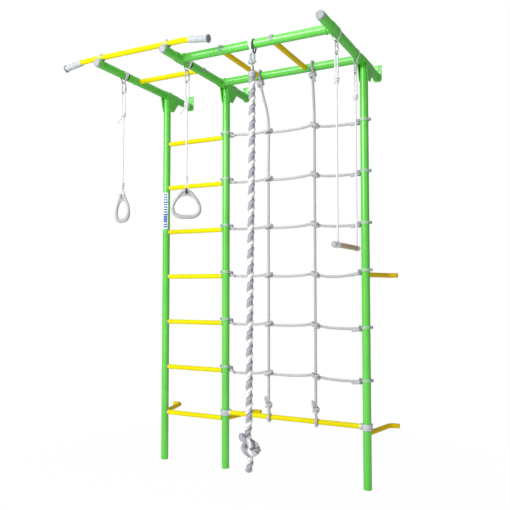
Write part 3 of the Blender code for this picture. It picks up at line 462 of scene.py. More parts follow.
def roundBar(start, end, radius, sides=64, rim=0.0008):
    # a bar with softened rims, shaped from a cylinder
    start, end = Vector(start), Vector(end)
    length = (end - start).length
    bar = addShape(bpy.ops.mesh.primitive_cylinder_add, vertices=sides, radius=radius, depth=length,
                   location=(0, 0, length / 2))
    if rim > 0:
        pickFaces(bar, lambda centre, normal: abs(normal.z) > 0.9)
        bevelPicked(rim, 3)
    return aim(bar, start, end - start)


def spun(profile, start, direction, steps=48, closed=False, rim=0.0):
    # turns (radius, distance) points about an axis with Spin
    points = [(radius, 0.0, distance) for radius, distance in profile]
    edges = [(i, i + 1) for i in range(len(points) - 1)]
    if closed:
        edges.append((len(points) - 1, 0))
    mesh = bpy.data.meshes.new("spun")
    mesh.from_pydata(points, edges, [])
    piece = bpy.data.objects.new("spun", mesh)
    scene.collection.objects.link(piece)
    only(piece)
    bpy.ops.object.mode_set(mode="EDIT")
    bpy.ops.mesh.select_all(action="SELECT")
    bpy.ops.mesh.spin(steps=steps, angle=2 * math.pi, center=(0, 0, 0), axis=(0, 0, 1))
    leaveEdit()
    settleMesh(piece)
    if rim > 0:
        soften(piece, rim, 3, 35)
    return aim(piece, start, direction)


def cope(piece, middle, along, radius=tubeFit, reach=0.05):
    # cuts a tube that this piece meets out of it; middle is a place from the floor
    ends = [at(*(value + way * reach * share for value, share in zip(middle, along))) for way in (-1, 1)]
    cutter = roundBar(*ends, radius, 64, 0.0)
    modify(piece, "BOOLEAN", operation="DIFFERENCE", solver="EXACT", object=cutter)
    discard(cutter)
    return piece


def openTube(place, turn, radius, length, sides, unwanted):
    # a tube wall without ends, less the faces that are unwanted
    tube = addShape(bpy.ops.mesh.primitive_cylinder_add, vertices=sides, radius=radius, depth=length,
                    end_fill_type="NOTHING", location=place, rotation=turn)
    pickFaces(tube, unwanted)
    dropPicked()
    return tube


def madeOfSheet(piece, sheet, rim):
    thicken(piece, sheet)
    settleMesh(piece)
    return soften(piece, rim)


def curvedPlate(axisPoint, along, half, inner, sheet, middleWay, spread):
    # part of a tube wall: a curved washer or clamp plate, half long each way and spread each side of middleWay
    along = Vector(along)
    limit = math.cos(math.radians(spread))
    plate = openTube((0, 0, 0), along.to_track_quat("Z", "Y").to_euler(), inner + sheet / 2, 2 * half, 72,
                     lambda centre, normal: (centre - along * centre.dot(along)).normalized().dot(middleWay) < limit)
    madeOfSheet(plate, sheet, sheet * 0.25)
    plate.location = axisPoint
    return settlePlace(plate)


def block(low, high, rim=0.0006, segments=3):
    low, high = Vector(low), Vector(high)
    piece = addShape(bpy.ops.mesh.primitive_cube_add, size=1.0, location=(low + high) / 2, scale=high - low)
    if rim > 0:
        pickFaces(piece, lambda centre, normal: True)
        bevelPicked(rim, segments)
    return piece


def smoothLine(points, steps):
    points = [Vector(point) for point in points]
    ends = [2 * points[0] - points[1], *points, 2 * points[-1] - points[-2]]
    line = []
    for before, start, end, after in zip(ends, ends[1:], ends[2:], ends[3:]):
        for step in range(steps):
            t = step / steps
            line.append(0.5 * (2 * start + (end - before) * t + (2 * before - 5 * start + 4 * end - after) * t * t
                               + (3 * start - before - 3 * end + after) * t ** 3))
    line.append(points[-1])
    return line


def curveThrough(places, steps):
    return smoothLine([at(*place) for place in places], steps)


def evenLine(points, spacing):
    # the same line with points at an even spacing
    lengths = [0.0]
    for first, second in zip(points, points[1:]):
        lengths.append(lengths[-1] + (second - first).length)
    count = max(2, round(lengths[-1] / spacing))
    line = []
    index = 0
    for step in range(count + 1):
        wanted = lengths[-1] * step / count
        while index < len(points) - 2 and lengths[index + 1] < wanted:
            index += 1
        share = (wanted - lengths[index]) / max(lengths[index + 1] - lengths[index], 1e-9)
        line.append(points[index].lerp(points[index + 1], min(1.0, share)))
    return line


def arcPlaces(x, y, z, sideways, radius, turns):
    # places on an upright circle; at 0 degrees they lie sideways of its middle
    angles = [math.radians(turn) for turn in turns]
    return [(x + sideways.x * radius * math.cos(angle), y + sideways.y * radius * math.cos(angle),
             z + radius * math.sin(angle)) for angle in angles]


def bentBar(points, radius, closed=False, radii=None, sides=32):
    # a bevelled curve made into a mesh
    bpy.ops.object.select_all(action="DESELECT")
    bpy.ops.curve.primitive_bezier_curve_add()
    curve = bpy.context.object
    curve.location = (0, 0, 0)
    data = curve.data
    data.splines.clear()
    data.dimensions = "3D"
    data.bevel_depth = radius
    data.bevel_resolution = sides // 2 - 2
    data.use_fill_caps = not closed
    data.resolution_u = 1
    spline = data.splines.new("POLY")
    spline.points.add(len(points) - 1)
    spline.use_cyclic_u = closed
    for index, point in enumerate(points):
        spline.points[index].co = (*point, 1.0)
        spline.points[index].radius = radii[index] if radii else 1.0
    only(curve)
    bpy.ops.object.convert(target="MESH")
    return settleMesh(bpy.context.object)


def pieceFrom(shape, name):
    bmesh.ops.recalc_face_normals(shape, faces=shape.faces)
    mesh = bpy.data.meshes.new(name)
    shape.to_mesh(mesh)
    shape.free()
    piece = bpy.data.objects.new(name, mesh)
    scene.collection.objects.link(piece)
    return piece


def ropeSection(radius, laid, strands, sides, groove):
    # the turn and reach of each corner: lobes for a laid rope, else a circle
    strandRadius = 0.464
    strandOffset = 1.0 - strandRadius
    section = []
    for side in range(sides):
        turn = 2 * math.pi * side / sides
        reach = 1.0
        if laid:
            part = (turn + math.pi / strands) % (2 * math.pi / strands) - math.pi / strands
            inside = strandRadius ** 2 - (strandOffset * math.sin(part)) ** 2
            reach = max(strandOffset * math.cos(part) + math.sqrt(max(inside, 0.0)), groove)
        section.append((turn, radius * reach))
    return section


def sweepRope(line, radius, pitch=0.0, strands=3, sides=18, phase=0.0, taper=True, groove=0.66):
    # a laid rope when pitch is given, else a round cord: one closed tube along an even line, whose section turns
    section = ropeSection(radius, pitch, strands, sides, groove)
    tangent = (line[1] - line[0]).normalized()
    helper = xAxis if abs(tangent.x) < 0.9 else yAxis
    first = tangent.cross(helper).normalized()
    second = tangent.cross(first)
    shape = bmesh.new()
    uvLayer = shape.loops.layers.uv.new("ropeUV")
    rings = []
    travelled = 0.0
    distances = []
    for index, centre in enumerate(line):
        before, after = line[max(index - 1, 0)], line[min(index + 1, len(line) - 1)]
        heading = (after - before).normalized()
        turnBy = tangent.rotation_difference(heading)
        first, second, tangent = turnBy @ first, turnBy @ second, heading
        if index:
            travelled += (centre - line[index - 1]).length
        distances.append(travelled)
        twist = phase + (2 * math.pi * travelled / pitch if pitch else 0.0)
        fromEnd = min(index, len(line) - 1 - index)
        shrink = (0.72, 0.93)[fromEnd] if taper and fromEnd < 2 else 1.0
        rings.append([shape.verts.new(centre + shrink * reach * (math.cos(turn + twist) * first
                                                                 + math.sin(turn + twist) * second))
                      for turn, reach in section])
    # strand 0 starts at u = 0: the section's first strand is centred on turn 0
    start = sides // (2 * strands)
    for index in range(len(rings) - 1):
        for side in range(sides):
            nextSide = (side + 1) % sides
            corners = (rings[index][side], rings[index][nextSide], rings[index + 1][nextSide], rings[index + 1][side])
            face = shape.faces.new(corners)
            face.smooth = True
            u = ((side + start) % sides) / sides
            spots = ((u, index), (u + 1 / sides, index), (u + 1 / sides, index + 1), (u, index + 1))
            for loop, (across, ring) in zip(face.loops, spots):
                loop[uvLayer].uv = (across, distances[ring])
    for ring, order in ((rings[0], -1), (rings[-1], 1)):
        middle = shape.verts.new(sum((vert.co for vert in ring), Vector()) / sides)
        for side in range(sides):
            corners = (ring[side], ring[(side + 1) % sides], middle)
            face = shape.faces.new(corners[::order])
            face.smooth = True
    return pieceFrom(shape, "rope")


def strapLoop(points, across, halfWidths, thickness, columns=6):
    # a closed loop of flat tape; its UV is in metres, along and across
    shape = bmesh.new()
    uvLayer = shape.loops.layers.uv.new("tapeUV")
    rows = []
    along = [0.0]
    for first, second in zip(points, [*points[1:], points[0]]):
        along.append(along[-1] + (second - first).length)
    for point, half in zip(points, halfWidths):
        rows.append([shape.verts.new(point + across * half * (2 * column / columns - 1)) for column in range(columns + 1)])
    for index, row in enumerate(rows):
        nextRow = rows[(index + 1) % len(rows)]
        widths = (halfWidths[index], halfWidths[(index + 1) % len(rows)])
        for column in range(columns):
            face = shape.faces.new((row[column], row[column + 1], nextRow[column + 1], nextRow[column]))
            face.smooth = True
            spots = ((0, column), (0, column + 1), (1, column + 1), (1, column))
            for loop, (later, place) in zip(face.loops, spots):
                loop[uvLayer].uv = (widths[later] * (2 * place / columns - 1), along[index + later])
    return soften(thicken(pieceFrom(shape, "strap"), thickness), thickness * 0.3)


finishedNames = []


def finishPiece(piece, name, look, replaced=(), body="frame", smooth=38):
    settlePlace(piece)
    if smooth:
        bpy.ops.object.shade_smooth_by_angle(angle=math.radians(smooth))
    piece.name = name
    piece.data.name = name
    piece.data.materials.clear()
    piece.data.materials.append(finishes[look])
    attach(piece, body)
    if replaced:
        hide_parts(*replaced)
    finishedNames.append(name)
    return piece


# ropes and cords first
hanging = dict(slingHalf=0.0180, thinSlingHalf=0.0055, ropeSlingHalf=0.0100, slingEnd=0.0042, slingSheet=0.0022,
               slingDrop=0.0405, slingSmall=0.009, edgeHalf=0.0028, edgeGap=0.0031, ropeEdgeGap=0.0045, wire=0.0035,
               linkHalf=0.016, linkHeight=0.066, hookRise=0.007, cordRadius=0.0045, loopHalf=(0.0098, 0.0056),
               loopLength=0.122, tail=((0.034, 0.042), (0.010, 0.016)), knotTurns=2.6, knotSize=(0.0112, 0.0100),
               knotLength=0.027)
hookZ = beamZ - hanging["slingDrop"] - hanging["slingSmall"]
topWireZ = hookZ + hanging["hookRise"]
lowWireZ = topWireZ - hanging["linkHeight"]
cordRadius = hanging["cordRadius"]


def roundCord(line, radius=cordRadius, sides=14):
    return sweepRope(line, radius, sides=sides)


def cordKnot(x, y, z):
    # tight turns round both legs, as in a small stopper knot
    points = []
    steps = 46
    sizeX, sizeY = hanging["knotSize"]
    for step in range(steps + 1):
        share = step / steps
        angle = 2 * math.pi * hanging["knotTurns"] * share + 0.4
        swell = 1.0 - 0.22 * abs(2 * share - 1) ** 2
        points.append(at(x + sizeX * swell * math.cos(angle), y + sizeY * swell * math.sin(angle),
                         z - hanging["knotLength"] / 2 + hanging["knotLength"] * share))
    return roundCord(evenLine(points, 0.0016))


def hungCord(prefix, x, y, startPoints):
    # one cord from its lower end up over the link's wire and back down to its knot and tail
    kind = prefix.startswith("trapeze")
    half = hanging["loopHalf"][kind]
    knotZ = lowWireZ - hanging["loopLength"]
    tailX, tailDrop = hanging["tail"][kind]
    points = [*startPoints, (x, y, 1.72), (x, y, 1.80), (x, y, 1.88), (x, y, 1.96), (x, y, knotZ - 0.03),
              (x + 0.4 * half, y, knotZ), (x + 0.95 * half, y, knotZ + 0.025), (x + 1.1 * half, y, knotZ + 0.06),
              (x + half, y, lowWireZ - 0.02),
              *arcPlaces(x, y, lowWireZ, xAxis, half, (0, 30, 60, 90, 120, 150, 180)),
              (x - half, y, lowWireZ - 0.02), (x - 1.1 * half, y, knotZ + 0.06), (x - 0.95 * half, y, knotZ + 0.025),
              (x - 0.4 * half - 0.0015, y - 0.003, knotZ), (x - half - 0.004, y - 0.002, knotZ - 0.018),
              (x - half - 0.6 * tailX, y, knotZ - 0.55 * tailDrop - 0.006), (x - half - tailX, y, knotZ - tailDrop)]
    line = evenLine(curveThrough(points, 6), 0.003)
    piece, knot = roundCord(line), cordKnot(x, y, knotZ)
    body = prefix + "_line"
    finishPiece(piece, prefix + "Cord", "cord", [prefix + "_cord"], body, smooth=0)
    finishPiece(knot, prefix + "Knot", "cord", body=body, smooth=0)
    return piece, knot, line


ringCord = dict(ringY=-0.433, apexZ=1.583, wire=0.0092, spliceZ=1.655, sleeve=0.0008, whipSize=(0.0098, 0.0062),
                whipRadius=0.0019, whipTurns=5, whipLength=0.018)


def ringTurn(angle):
    return Vector((math.cos(angle), math.sin(angle), 0)), Vector((-math.sin(angle), math.cos(angle), 0))


ringPlaces = (("left", layout["leftX"], math.radians(-23.0)), ("middle", layout["middleX"], math.radians(30.0)))
for side, x, turn in ringPlaces:
    across, through = ringTurn(turn)
    reach = ringCord["wire"] + cordRadius + 0.0004
    apexZ, ringY, spliceZ = ringCord["apexZ"], ringCord["ringY"], ringCord["spliceZ"]
    prefix = "ring_" + side
    body = prefix + "_line"
    # how far each leg lies from the middle, going up from the ring
    legs = []
    for turns, spots in (((-20, 0, 30), ((0.0085, apexZ + 0.022), (0.0045, apexZ + 0.045), (0.0040, spliceZ - 0.012),
                                         (0.0, spliceZ + 0.018))),
                         ((-20, -60, -90, -120, -160, -180, -210), ((-0.0085, apexZ + 0.022), (-0.0045, apexZ + 0.045),
                                                                    (-0.0045, spliceZ + 0.008)))):
        legs.append(arcPlaces(x, ringY, apexZ, through, reach, turns)
                    + [(x + through.x * offset, ringY + through.y * offset, z) for offset, z in spots])
    cordPiece, knot, line = hungCord(prefix, x, ringY, legs[0])
    # the other leg of the loop round the ring, its sleeve, and the whipping that holds both legs
    legPiece = roundCord(evenLine(curveThrough(legs[1], 6), 0.003))
    finishPiece(legPiece, prefix + "CordLeg", "cord", body=body, smooth=0)
    sleeveLine = [at(*place) for place in arcPlaces(x, ringY, apexZ, through, reach, range(35, -216, -10))]
    thimble = bentBar(sleeveLine, cordRadius + ringCord["sleeve"], sides=20)
    # painted shade on the middle ring: its sleeve is near-black, the left one is grey
    finishPiece(thimble, prefix + "Thimble", "thimble" if side == "middle" else "cap", body=body, smooth=60)
    whip = []
    for step in range(61):
        angle = 2 * math.pi * ringCord["whipTurns"] * step / 60
        side1, side2 = ringCord["whipSize"][0] * math.cos(angle), ringCord["whipSize"][1] * math.sin(angle)
        whip.append(at(x + through.x * side1 + across.x * side2, ringY + through.y * side1 + across.y * side2,
                       spliceZ - 0.014 + ringCord["whipLength"] * step / 60))
    whipPiece = roundCord(evenLine(whip, 0.0015), ringCord["whipRadius"], 10)
    finishPiece(whipPiece, prefix + "Whipping", "cord", body=body, smooth=0)

trapeze = dict(cordY=(-0.447, -0.152), barZ=1.262, barRadius=0.013, groove=0.0015, grooveHalf=0.012, barY=(-0.500, -0.126),
               rim=0.003, wound=((-0.048, 0.0085), (-0.0085, 0.0085)), windRadius=0.0022, windPitch=0.0043)
for end, y in zip(("front", "rear"), trapeze["cordY"]):
    x = layout["rightX"]
    footZ = trapeze["barZ"] + trapeze["barRadius"] - trapeze["groove"] + 0.0007
    lead = [(x, y, z) for z in (footZ, footZ + 0.03, 1.36, 1.45, 1.54, 1.63)]
    cordPiece, knot, line = hungCord("trapeze_" + end, x, y, lead)

climbing = dict(radius=0.0185, topX=0.434, lowX=0.417, y=-0.500, topZ=2.139, endZ=0.163, knotZ=0.298, knotScale=1.05,
                pitch=0.080, groove=0.80,
                knotHalf=((-0.0078, 0.0006, 0.0487), (-0.0065, -0.0018, 0.0234), (-0.0166, -0.0127, 0.0034),
                          (-0.0108, -0.0299, -0.0134), (0.0091, -0.0343, -0.0276), (0.0303, -0.0224, -0.0335),
                          (0.0390, 0.0007, -0.0300), (0.0310, 0.0215, -0.0189), (0.0106, 0.0283, -0.0057)))


def climbingRoute():
    knotPoints = [Vector(point) * climbing["knotScale"] for point in climbing["knotHalf"]]
    knotPoints += [Vector((-point.x, point.y, -point.z)) for point in reversed(knotPoints)]
    topX, lowX, y = climbing["topX"], climbing["lowX"], climbing["y"]
    knotCentre = Vector((lowX, y, climbing["knotZ"]))
    low = knotCentre.z + 0.11
    straight = []
    for step in range(9):
        share = step / 8
        lean = share * share * (3 - 2 * share)
        straight.append(Vector((topX + (lowX - topX) * lean, y, climbing["topZ"] + (low - climbing["topZ"]) * share)))
    middleZ = (climbing["endZ"] + climbing["knotZ"] - 0.06) / 2
    curve = smoothLine([straight[-1], *(knotCentre + point for point in knotPoints), Vector((lowX + 0.003, y, middleZ)),
                        Vector((lowX - 0.002, y, climbing["endZ"]))], 6)
    return [point - origin for point in smoothLine(straight, 4)[:-1] + curve]


ropeLine = evenLine(climbingRoute(), 0.004)
ropePiece = sweepRope(ropeLine, climbing["radius"], climbing["pitch"], strands=2, sides=36, phase=0.6,
                      groove=climbing["groove"])
finishPiece(ropePiece, "climbingRope", "climbingRope", ["climbing_rope"], "rope_line", smooth=0)
print("cords and climbing rope made")


# uprights and beams
uprightFoot = dict(rim=0.0014, inset=0.003, sunk=0.0015)
for side, x in beamX.items():
    upright = roundBar(at(x, 0, 0), at(x, 0, beamZ - 0.001), tubeRadius, 64, uprightFoot["rim"])
    cope(upright, (x, 0, beamZ), yAxis, reach=0.1)
    pickFaces(upright, lambda centre, normal: normal.z < -0.98)
    bpy.ops.mesh.inset(thickness=uprightFoot["inset"])
    bpy.ops.mesh.extrude_region_move(TRANSFORM_OT_translate={"value": (0, 0, uprightFoot["sunk"])})
    leaveEdit()
    finishPiece(upright, "upright" + side.capitalize(), "green", ["upright_" + side])

# a plain height scale on the left upright
scaleLabel = dict(low=1.428, high=1.658, spread=60, sheet=0.0003, tick=0.0155, first=0.0107, ticks=13.6, middleX=0.0045,
                  shortHalf=0.0115, longHalf=0.0140, panel=(2.0, 4.9))


def scaleFinish():
    material, tree, shader, place = newMaterial("scaleLabel", 0.4, Specular_IOR_Level=0.3)
    parts = splitVector(tree, place["Object"])
    firstZ = at(0, 0, scaleLabel["low"] + scaleLabel["first"]).z
    middleX = at(layout["leftX"] + scaleLabel["middleX"], 0, 0).x
    along = mathNode(tree, "DIVIDE", mathNode(tree, "SUBTRACT", parts["Z"], firstZ), scaleLabel["tick"])
    across = mathNode(tree, "ABSOLUTE", mathNode(tree, "SUBTRACT", parts["X"], middleX))
    mark = mathNode(tree, "LESS_THAN", mathNode(tree, "FRACT", along), 0.55)
    longMark = mathNode(tree, "LESS_THAN", mathNode(tree, "FRACT", mathNode(tree, "DIVIDE", along, 5.0)), 0.12)
    half = mathNode(tree, "MULTIPLY_ADD", longMark, scaleLabel["longHalf"] - scaleLabel["shortHalf"],
                    scaleLabel["shortHalf"])
    inside = mathNode(tree, "LESS_THAN", across, half)

    def between(low, high):
        return mathNode(tree, "MULTIPLY", mathNode(tree, "GREATER_THAN", along, low),
                        mathNode(tree, "LESS_THAN", along, high))

    panel = between(*scaleLabel["panel"])
    ink = mathNode(tree, "MULTIPLY", mathNode(tree, "MULTIPLY", mark, inside), between(0.0, scaleLabel["ticks"]))
    grime = noiseMask(tree, place["Object"], 40.0, 3.0, 0.4, 0.7)
    paper = mixColours(tree, grime, (0.90, 0.92, 0.95), (0.85, 0.88, 0.92))
    paper = mixColours(tree, mathNode(tree, "MULTIPLY", panel, inside), paper, (0.22, 0.32, 0.74))
    dress(tree, shader, mixColours(tree, ink, paper, (0.03, 0.09, 0.45)), grime, (0.34, 0.48))
    return material


finishes["scale"] = scaleFinish()
plate = dict(width=0.052, low=0.027, high=0.070, sheet=0.005, corner=0.014, weld=0.004, holeRadius=0.0035, holeX=0.0145,
             holeRise=0.047)
capProfile = ((0, -0.018), (tubeRadius - 0.0024, -0.018), (tubeRadius - 0.0024, 0.0003), (0.0220, 0.0003), (0.0220, 0.0032),
              (0.0213, 0.0037), (0.0213, 0.0082), (0.0204, 0.0108), (0.0184, 0.0121), (0.0165, 0.0123), (0.0155, 0.0112),
              (0, 0.0112))
bead = plate["weld"]
weldProfile = ((tubeRadius - 0.001, 0), (tubeRadius + bead, 0), (tubeRadius + bead * 0.55, -bead * 0.4),
               (tubeRadius + bead * 0.12, -bead), (tubeRadius - 0.001, -bead - 0.001))
wallY = layout["wallY"]
for side, x in beamX.items():
    beam = roundBar(at(x, layout["frontY"], beamZ), at(x, wallY - plate["sheet"] / 2, beamZ), tubeRadius, 64, 0.0008)
    wallPlate = block(at(x - plate["width"] / 2, wallY - plate["sheet"], beamZ - plate["low"]),
                      at(x + plate["width"] / 2, wallY, beamZ + plate["high"]), 0.0)
    lowZ = at(0, 0, beamZ - plate["low"]).z
    pickEdges(wallPlate, lambda a, b: abs(a.x - b.x) < 1e-5 and abs(a.z - b.z) < 1e-5 and a.z < lowZ + 0.001)
    bevelPicked(plate["corner"], 10)
    for way in (-1, 1):
        cope(wallPlate, (x + way * plate["holeX"], wallY, beamZ + plate["holeRise"]), yAxis, plate["holeRadius"], 0.03)
    soften(wallPlate, 0.0008, 3)
    weld = spun(weldProfile, at(x, wallY - plate["sheet"], beamZ), yAxis, 64, closed=True)
    finishPiece(fuse([beam, wallPlate, weld]), "beam" + side.capitalize(), "green", ["beam_" + side])
    cap = spun(capProfile, at(x, layout["frontY"], beamZ), -yAxis, 64)
    finishPiece(cap, "beamCap" + side.capitalize(), "cap", ["beam_cap_" + side])
print("uprights and beams made")


# bolts: modelled once, then copied to each place
hexForm = dict(washer=(0.0098, 0.0012), head=(0.0078, 0.0046), headMiddle=0.0035, crownInset=0.0012, crown=0.0005)
domeForm = dict(rise=0.0065, radius=0.0105, brim=((0, 0), (0.0118, 0), (0.0118, 0.0008), (0.0110, 0.0014)))


def makeHexBolt():
    radius, sheet = hexForm["washer"]
    washer = spun(((0, 0), (radius, 0), (radius, sheet), (0, sheet)), (0, 0, 0), zAxis, 32, rim=0.0003)
    head = addShape(bpy.ops.mesh.primitive_cylinder_add, vertices=6, radius=hexForm["head"][0], depth=hexForm["head"][1],
                    location=(0, 0, hexForm["headMiddle"]))
    pickFaces(head, lambda centre, normal: normal.z > 0.9)
    bpy.ops.mesh.inset(thickness=hexForm["crownInset"])
    bpy.ops.transform.translate(value=(0, 0, hexForm["crown"]))
    leaveEdit()
    return fuse([washer, soften(head, 0.0003, 2, 25)])


def makeDomeCap():
    profile = list(domeForm["brim"])
    low = profile[-1][1]
    for step in range(1, 9):
        angle = math.pi / 2 * step / 8
        profile.append((domeForm["radius"] * math.cos(angle) if step < 8 else 0,
                        low + (domeForm["rise"] - low) * math.sin(angle)))
    return spun(profile, (0, 0, 0), zAxis, 40)


hexBolt = makeHexBolt()
domeCap = makeDomeCap()


def hardware(template, places, name, look):
    return finishPiece(fuse([aim(copyOf(template), place, direction) for place, direction in places]), name, look)


# saddle brackets over the beams
bracket = dict(sheet=0.0035, front=0.034, rear=0.100, drop=0.101, footFront=0.010, footRear=0.034, bend=0.022,
               topBolt=0.034, sideBolt=(0.016, 0.042), rim=0.0007)
for side, x in beamX.items():
    outside = tubeFit + bracket["sheet"]
    low, bend = beamZ - bracket["drop"], beamZ - bracket["bend"]
    middle = at(x, 0, beamZ)
    saddle = openTube(at(x, (bracket["rear"] - bracket["front"]) / 2, beamZ), (math.pi / 2, 0, 0), (tubeFit + outside) / 2,
                      bracket["front"] + bracket["rear"], 64, lambda centre, normal: centre.z < middle.z)
    pickEdges(saddle, lambda a, b: abs(a.z - middle.z) < 1e-4 and abs(b.z - middle.z) < 1e-4)
    bpy.ops.mesh.extrude_region_move(TRANSFORM_OT_translate={"value": (0, 0, -bracket["drop"])})
    leaveEdit()
    for start, end, outwards in (((-bracket["front"], bend), (-bracket["footFront"], low), -1),
                                 ((bracket["rear"], bend), (bracket["footRear"], low), 1)):
        slope = Vector((0, end[0] - start[0], end[1] - start[1])).normalized()
        normal = Vector((0, -slope.z, slope.y)) * outwards
        only(saddle)
        bpy.ops.object.mode_set(mode="EDIT")
        bpy.ops.mesh.select_all(action="SELECT")
        bpy.ops.mesh.bisect(plane_co=at(x, start[0], start[1]), plane_no=normal, clear_outer=True)
        leaveEdit()
    madeOfSheet(saddle, bracket["sheet"], bracket["rim"])
    finishPiece(saddle, "topBracket" + side.capitalize(), "green", ["top_bracket_" + side])
    places = [(at(x, bracket["topBolt"], beamZ + outside - 0.0004), zAxis)]
    boltY, boltDrop = bracket["sideBolt"]
    for way in (1, -1):
        places.append((at(x + way * (outside - 0.0002), boltY, beamZ - boltDrop), xAxis * way))
    hardware(hexBolt, places, "bracketBolts" + side.capitalize(), "green")
print("brackets made")


# ladder rungs with their washers
ladder = dict(count=7, pitch=0.280, lowest=0.289, washerRadius=0.0152, washerLength=(0.0036, 0.0022), inset=0.012)
rungZ = [ladder["lowest"] + ladder["pitch"] * step for step in range(ladder["count"])]
ladderX = (layout["leftX"], layout["middleX"])
for number, z in enumerate(rungZ, start=1):
    rung = roundBar(at(ladderX[0] + ladder["inset"], 0, z), at(ladderX[1] - ladder["inset"], 0, z), barRadius, 48, 0.0)
    washers = []
    for x, inward, reach in zip(ladderX, (xAxis, -xAxis), ladder["washerLength"]):
        washer = spun(((barRadius + 0.0002, 0.014), (ladder["washerRadius"], 0.014),
                       (ladder["washerRadius"], tubeRadius + reach - 0.0010), (barRadius + 0.0007, tubeRadius + reach),
                       (barRadius + 0.0002, tubeRadius + reach)), at(x, 0, z), inward, 48, closed=True, rim=0.0003)
        for piece in (rung, washer):
            cope(piece, (x, 0, z), zAxis)
        washers.append(washer)
    finishPiece(rung, "rung" + str(number), "yellow", ["rung_" + str(number)])
    finishPiece(fuse(washers), "rungWashers" + str(number), "clear")
print("rungs made")


# pull-up bar, its grips and its two bolts on the beams
pullUp = dict(y=-0.627, bend=0.115, tip=0.140, droop=8.0, corner=0.03, gripLength=0.118, gripRadius=0.0170,
              flangeRadius=0.0208, ribs=22, ribDepth=0.0003, nutOffset=(0.0195, -0.004, -0.0145))
pullZ = beamZ + tubeRadius + barRadius + layout["clearance"]
droop = math.radians(pullUp["droop"])
ends = []
for side, x, way in zip(("left", "right"), ladderX, (-1, 1)):
    ends.append((side, Vector((x + way * pullUp["bend"], pullUp["y"], pullZ)),
                 Vector((way * math.cos(droop), 0, -math.sin(droop))), xAxis * -way))
route = []
for side, bend, heading, inward in ends:
    half = [bend + heading * (pullUp["tip"] - 0.002)]
    for step in range(9):
        t = step / 8
        half.append(bend + heading * pullUp["corner"] * (1 - t) ** 2 + inward * pullUp["corner"] * t ** 2)
    route += half if side == "left" else half[::-1]
finishPiece(bentBar([point - origin for point in route], barRadius, sides=48), "pullUpBar", "yellow", ["pull_up_bar"])
for side, bend, heading, inward in ends:
    length, gripRadius, flangeRadius = pullUp["gripLength"], pullUp["gripRadius"], pullUp["flangeRadius"]
    mouth = bend + heading * (pullUp["tip"] + 0.0033 - length) - origin
    sleeve = barRadius + layout["clearance"]
    profile = [(sleeve, length - 0.003), (sleeve, 0), (gripRadius - 0.0012, 0), (gripRadius, 0.002)]
    width = (length - 0.022) / pullUp["ribs"]
    for rib in range(pullUp["ribs"]):  # shallow ribs round the grip
        start = 0.006 + (length - 0.022) * rib / pullUp["ribs"]
        profile += [(gripRadius, start), (gripRadius, start + 0.62 * width),
                    (gripRadius - pullUp["ribDepth"], start + 0.74 * width),
                    (gripRadius - pullUp["ribDepth"], start + 0.88 * width)]
    profile += [(gripRadius, length - 0.0155), (gripRadius, length - 0.0105), (0, length - 0.0105), (0, length - 0.003)]
    grip = spun(profile, mouth, heading, 48)
    finishPiece(grip, "grip" + side.capitalize(), "grip", ["grip_" + side], smooth=50)
    flange = spun(((0, length - 0.0102), (gripRadius + 0.001, length - 0.0102), (flangeRadius, length - 0.0068),
                   (flangeRadius, length - 0.002), (flangeRadius - 0.0015, length - 0.0005),
                   (flangeRadius - 0.006, length), (0, length)), mouth, heading, 48)
    finishPiece(flange, "gripEnd" + side.capitalize(), "gripEnd")
spacers = [spun(((0, -0.004), (0.0115, -0.004), (0.0105, 0.0005), (0.0085, 0.0012), (0, 0.0012)),
                at(x, pullUp["y"], pullZ + barRadius), zAxis, 32, rim=0.0003) for x in ladderX]
finishPiece(fuse(spacers), "pullUpSpacers", "clear")
hardware(hexBolt, [(at(x, pullUp["y"], pullZ + barRadius + 0.0008), zAxis) for x in ladderX], "pullUpBolts", "steel")
print("pull-up bar made")

clips = [curvedPlate(at(x, pullUp["y"], pullZ), xAxis, 0.0130, barRadius + 0.0003, 0.0016, Vector((0, -0.45, 0.89)), 105)
         for x in ladderX]
finishPiece(fuse(clips), "pullUpClips", "milky")
nutX, nutY, nutZ = pullUp["nutOffset"]
hardware(hexBolt, [(at(x + nutX, pullUp["y"] + nutY, pullZ + nutZ), -zAxis) for x in ladderX], "pullUpNuts", "darkSteel")

label = curvedPlate(at(layout["leftX"], 0, (scaleLabel["low"] + scaleLabel["high"]) / 2), zAxis,
                    (scaleLabel["high"] - scaleLabel["low"]) / 2, tubeRadius + 0.0001, scaleLabel["sheet"], -yAxis,
                    scaleLabel["spread"])
finishPiece(label, "heightScale", "scale")


# cross bar, rails and monkey rungs
overhead = dict(crossY=-0.300, frontY=-0.500, rearY=-0.062, saddleSheet=0.003, frontHalf=0.040, rearHalf=0.024,
                boltOffset=0.027, monkeyX=(0.256, 0.546), inset=0.012, saddleRim=0.0007, boltLean=Vector((0, -0.80, 0.60)))
crossY, frontY, rearY = overhead["crossY"], overhead["frontY"], overhead["rearY"]
crossBar = roundBar(at(ladderX[0] + overhead["inset"], crossY, beamZ), at(ladderX[1] - overhead["inset"], crossY, beamZ),
                    barRadius, 48, 0.0)
for x in ladderX:
    cope(crossBar, (x, crossY, beamZ), yAxis)
finishPiece(crossBar, "crossBar", "yellow", ["cross_bar"])
outer = tubeRadius + 0.0002
tallCap = spun(((0, 0), (0.0125, 0), (0.0128, 0.0012), (0.0126, 0.0065), (0.0112, 0.0092), (0.0075, 0.0108), (0, 0.0112)),
               (0, 0, 0), zAxis, 40)
hardware(tallCap, [(at(ladderX[0] - outer, crossY, beamZ), -xAxis), (at(ladderX[1] + outer, crossY, beamZ), xAxis)],
         "crossBarCaps", "cap")

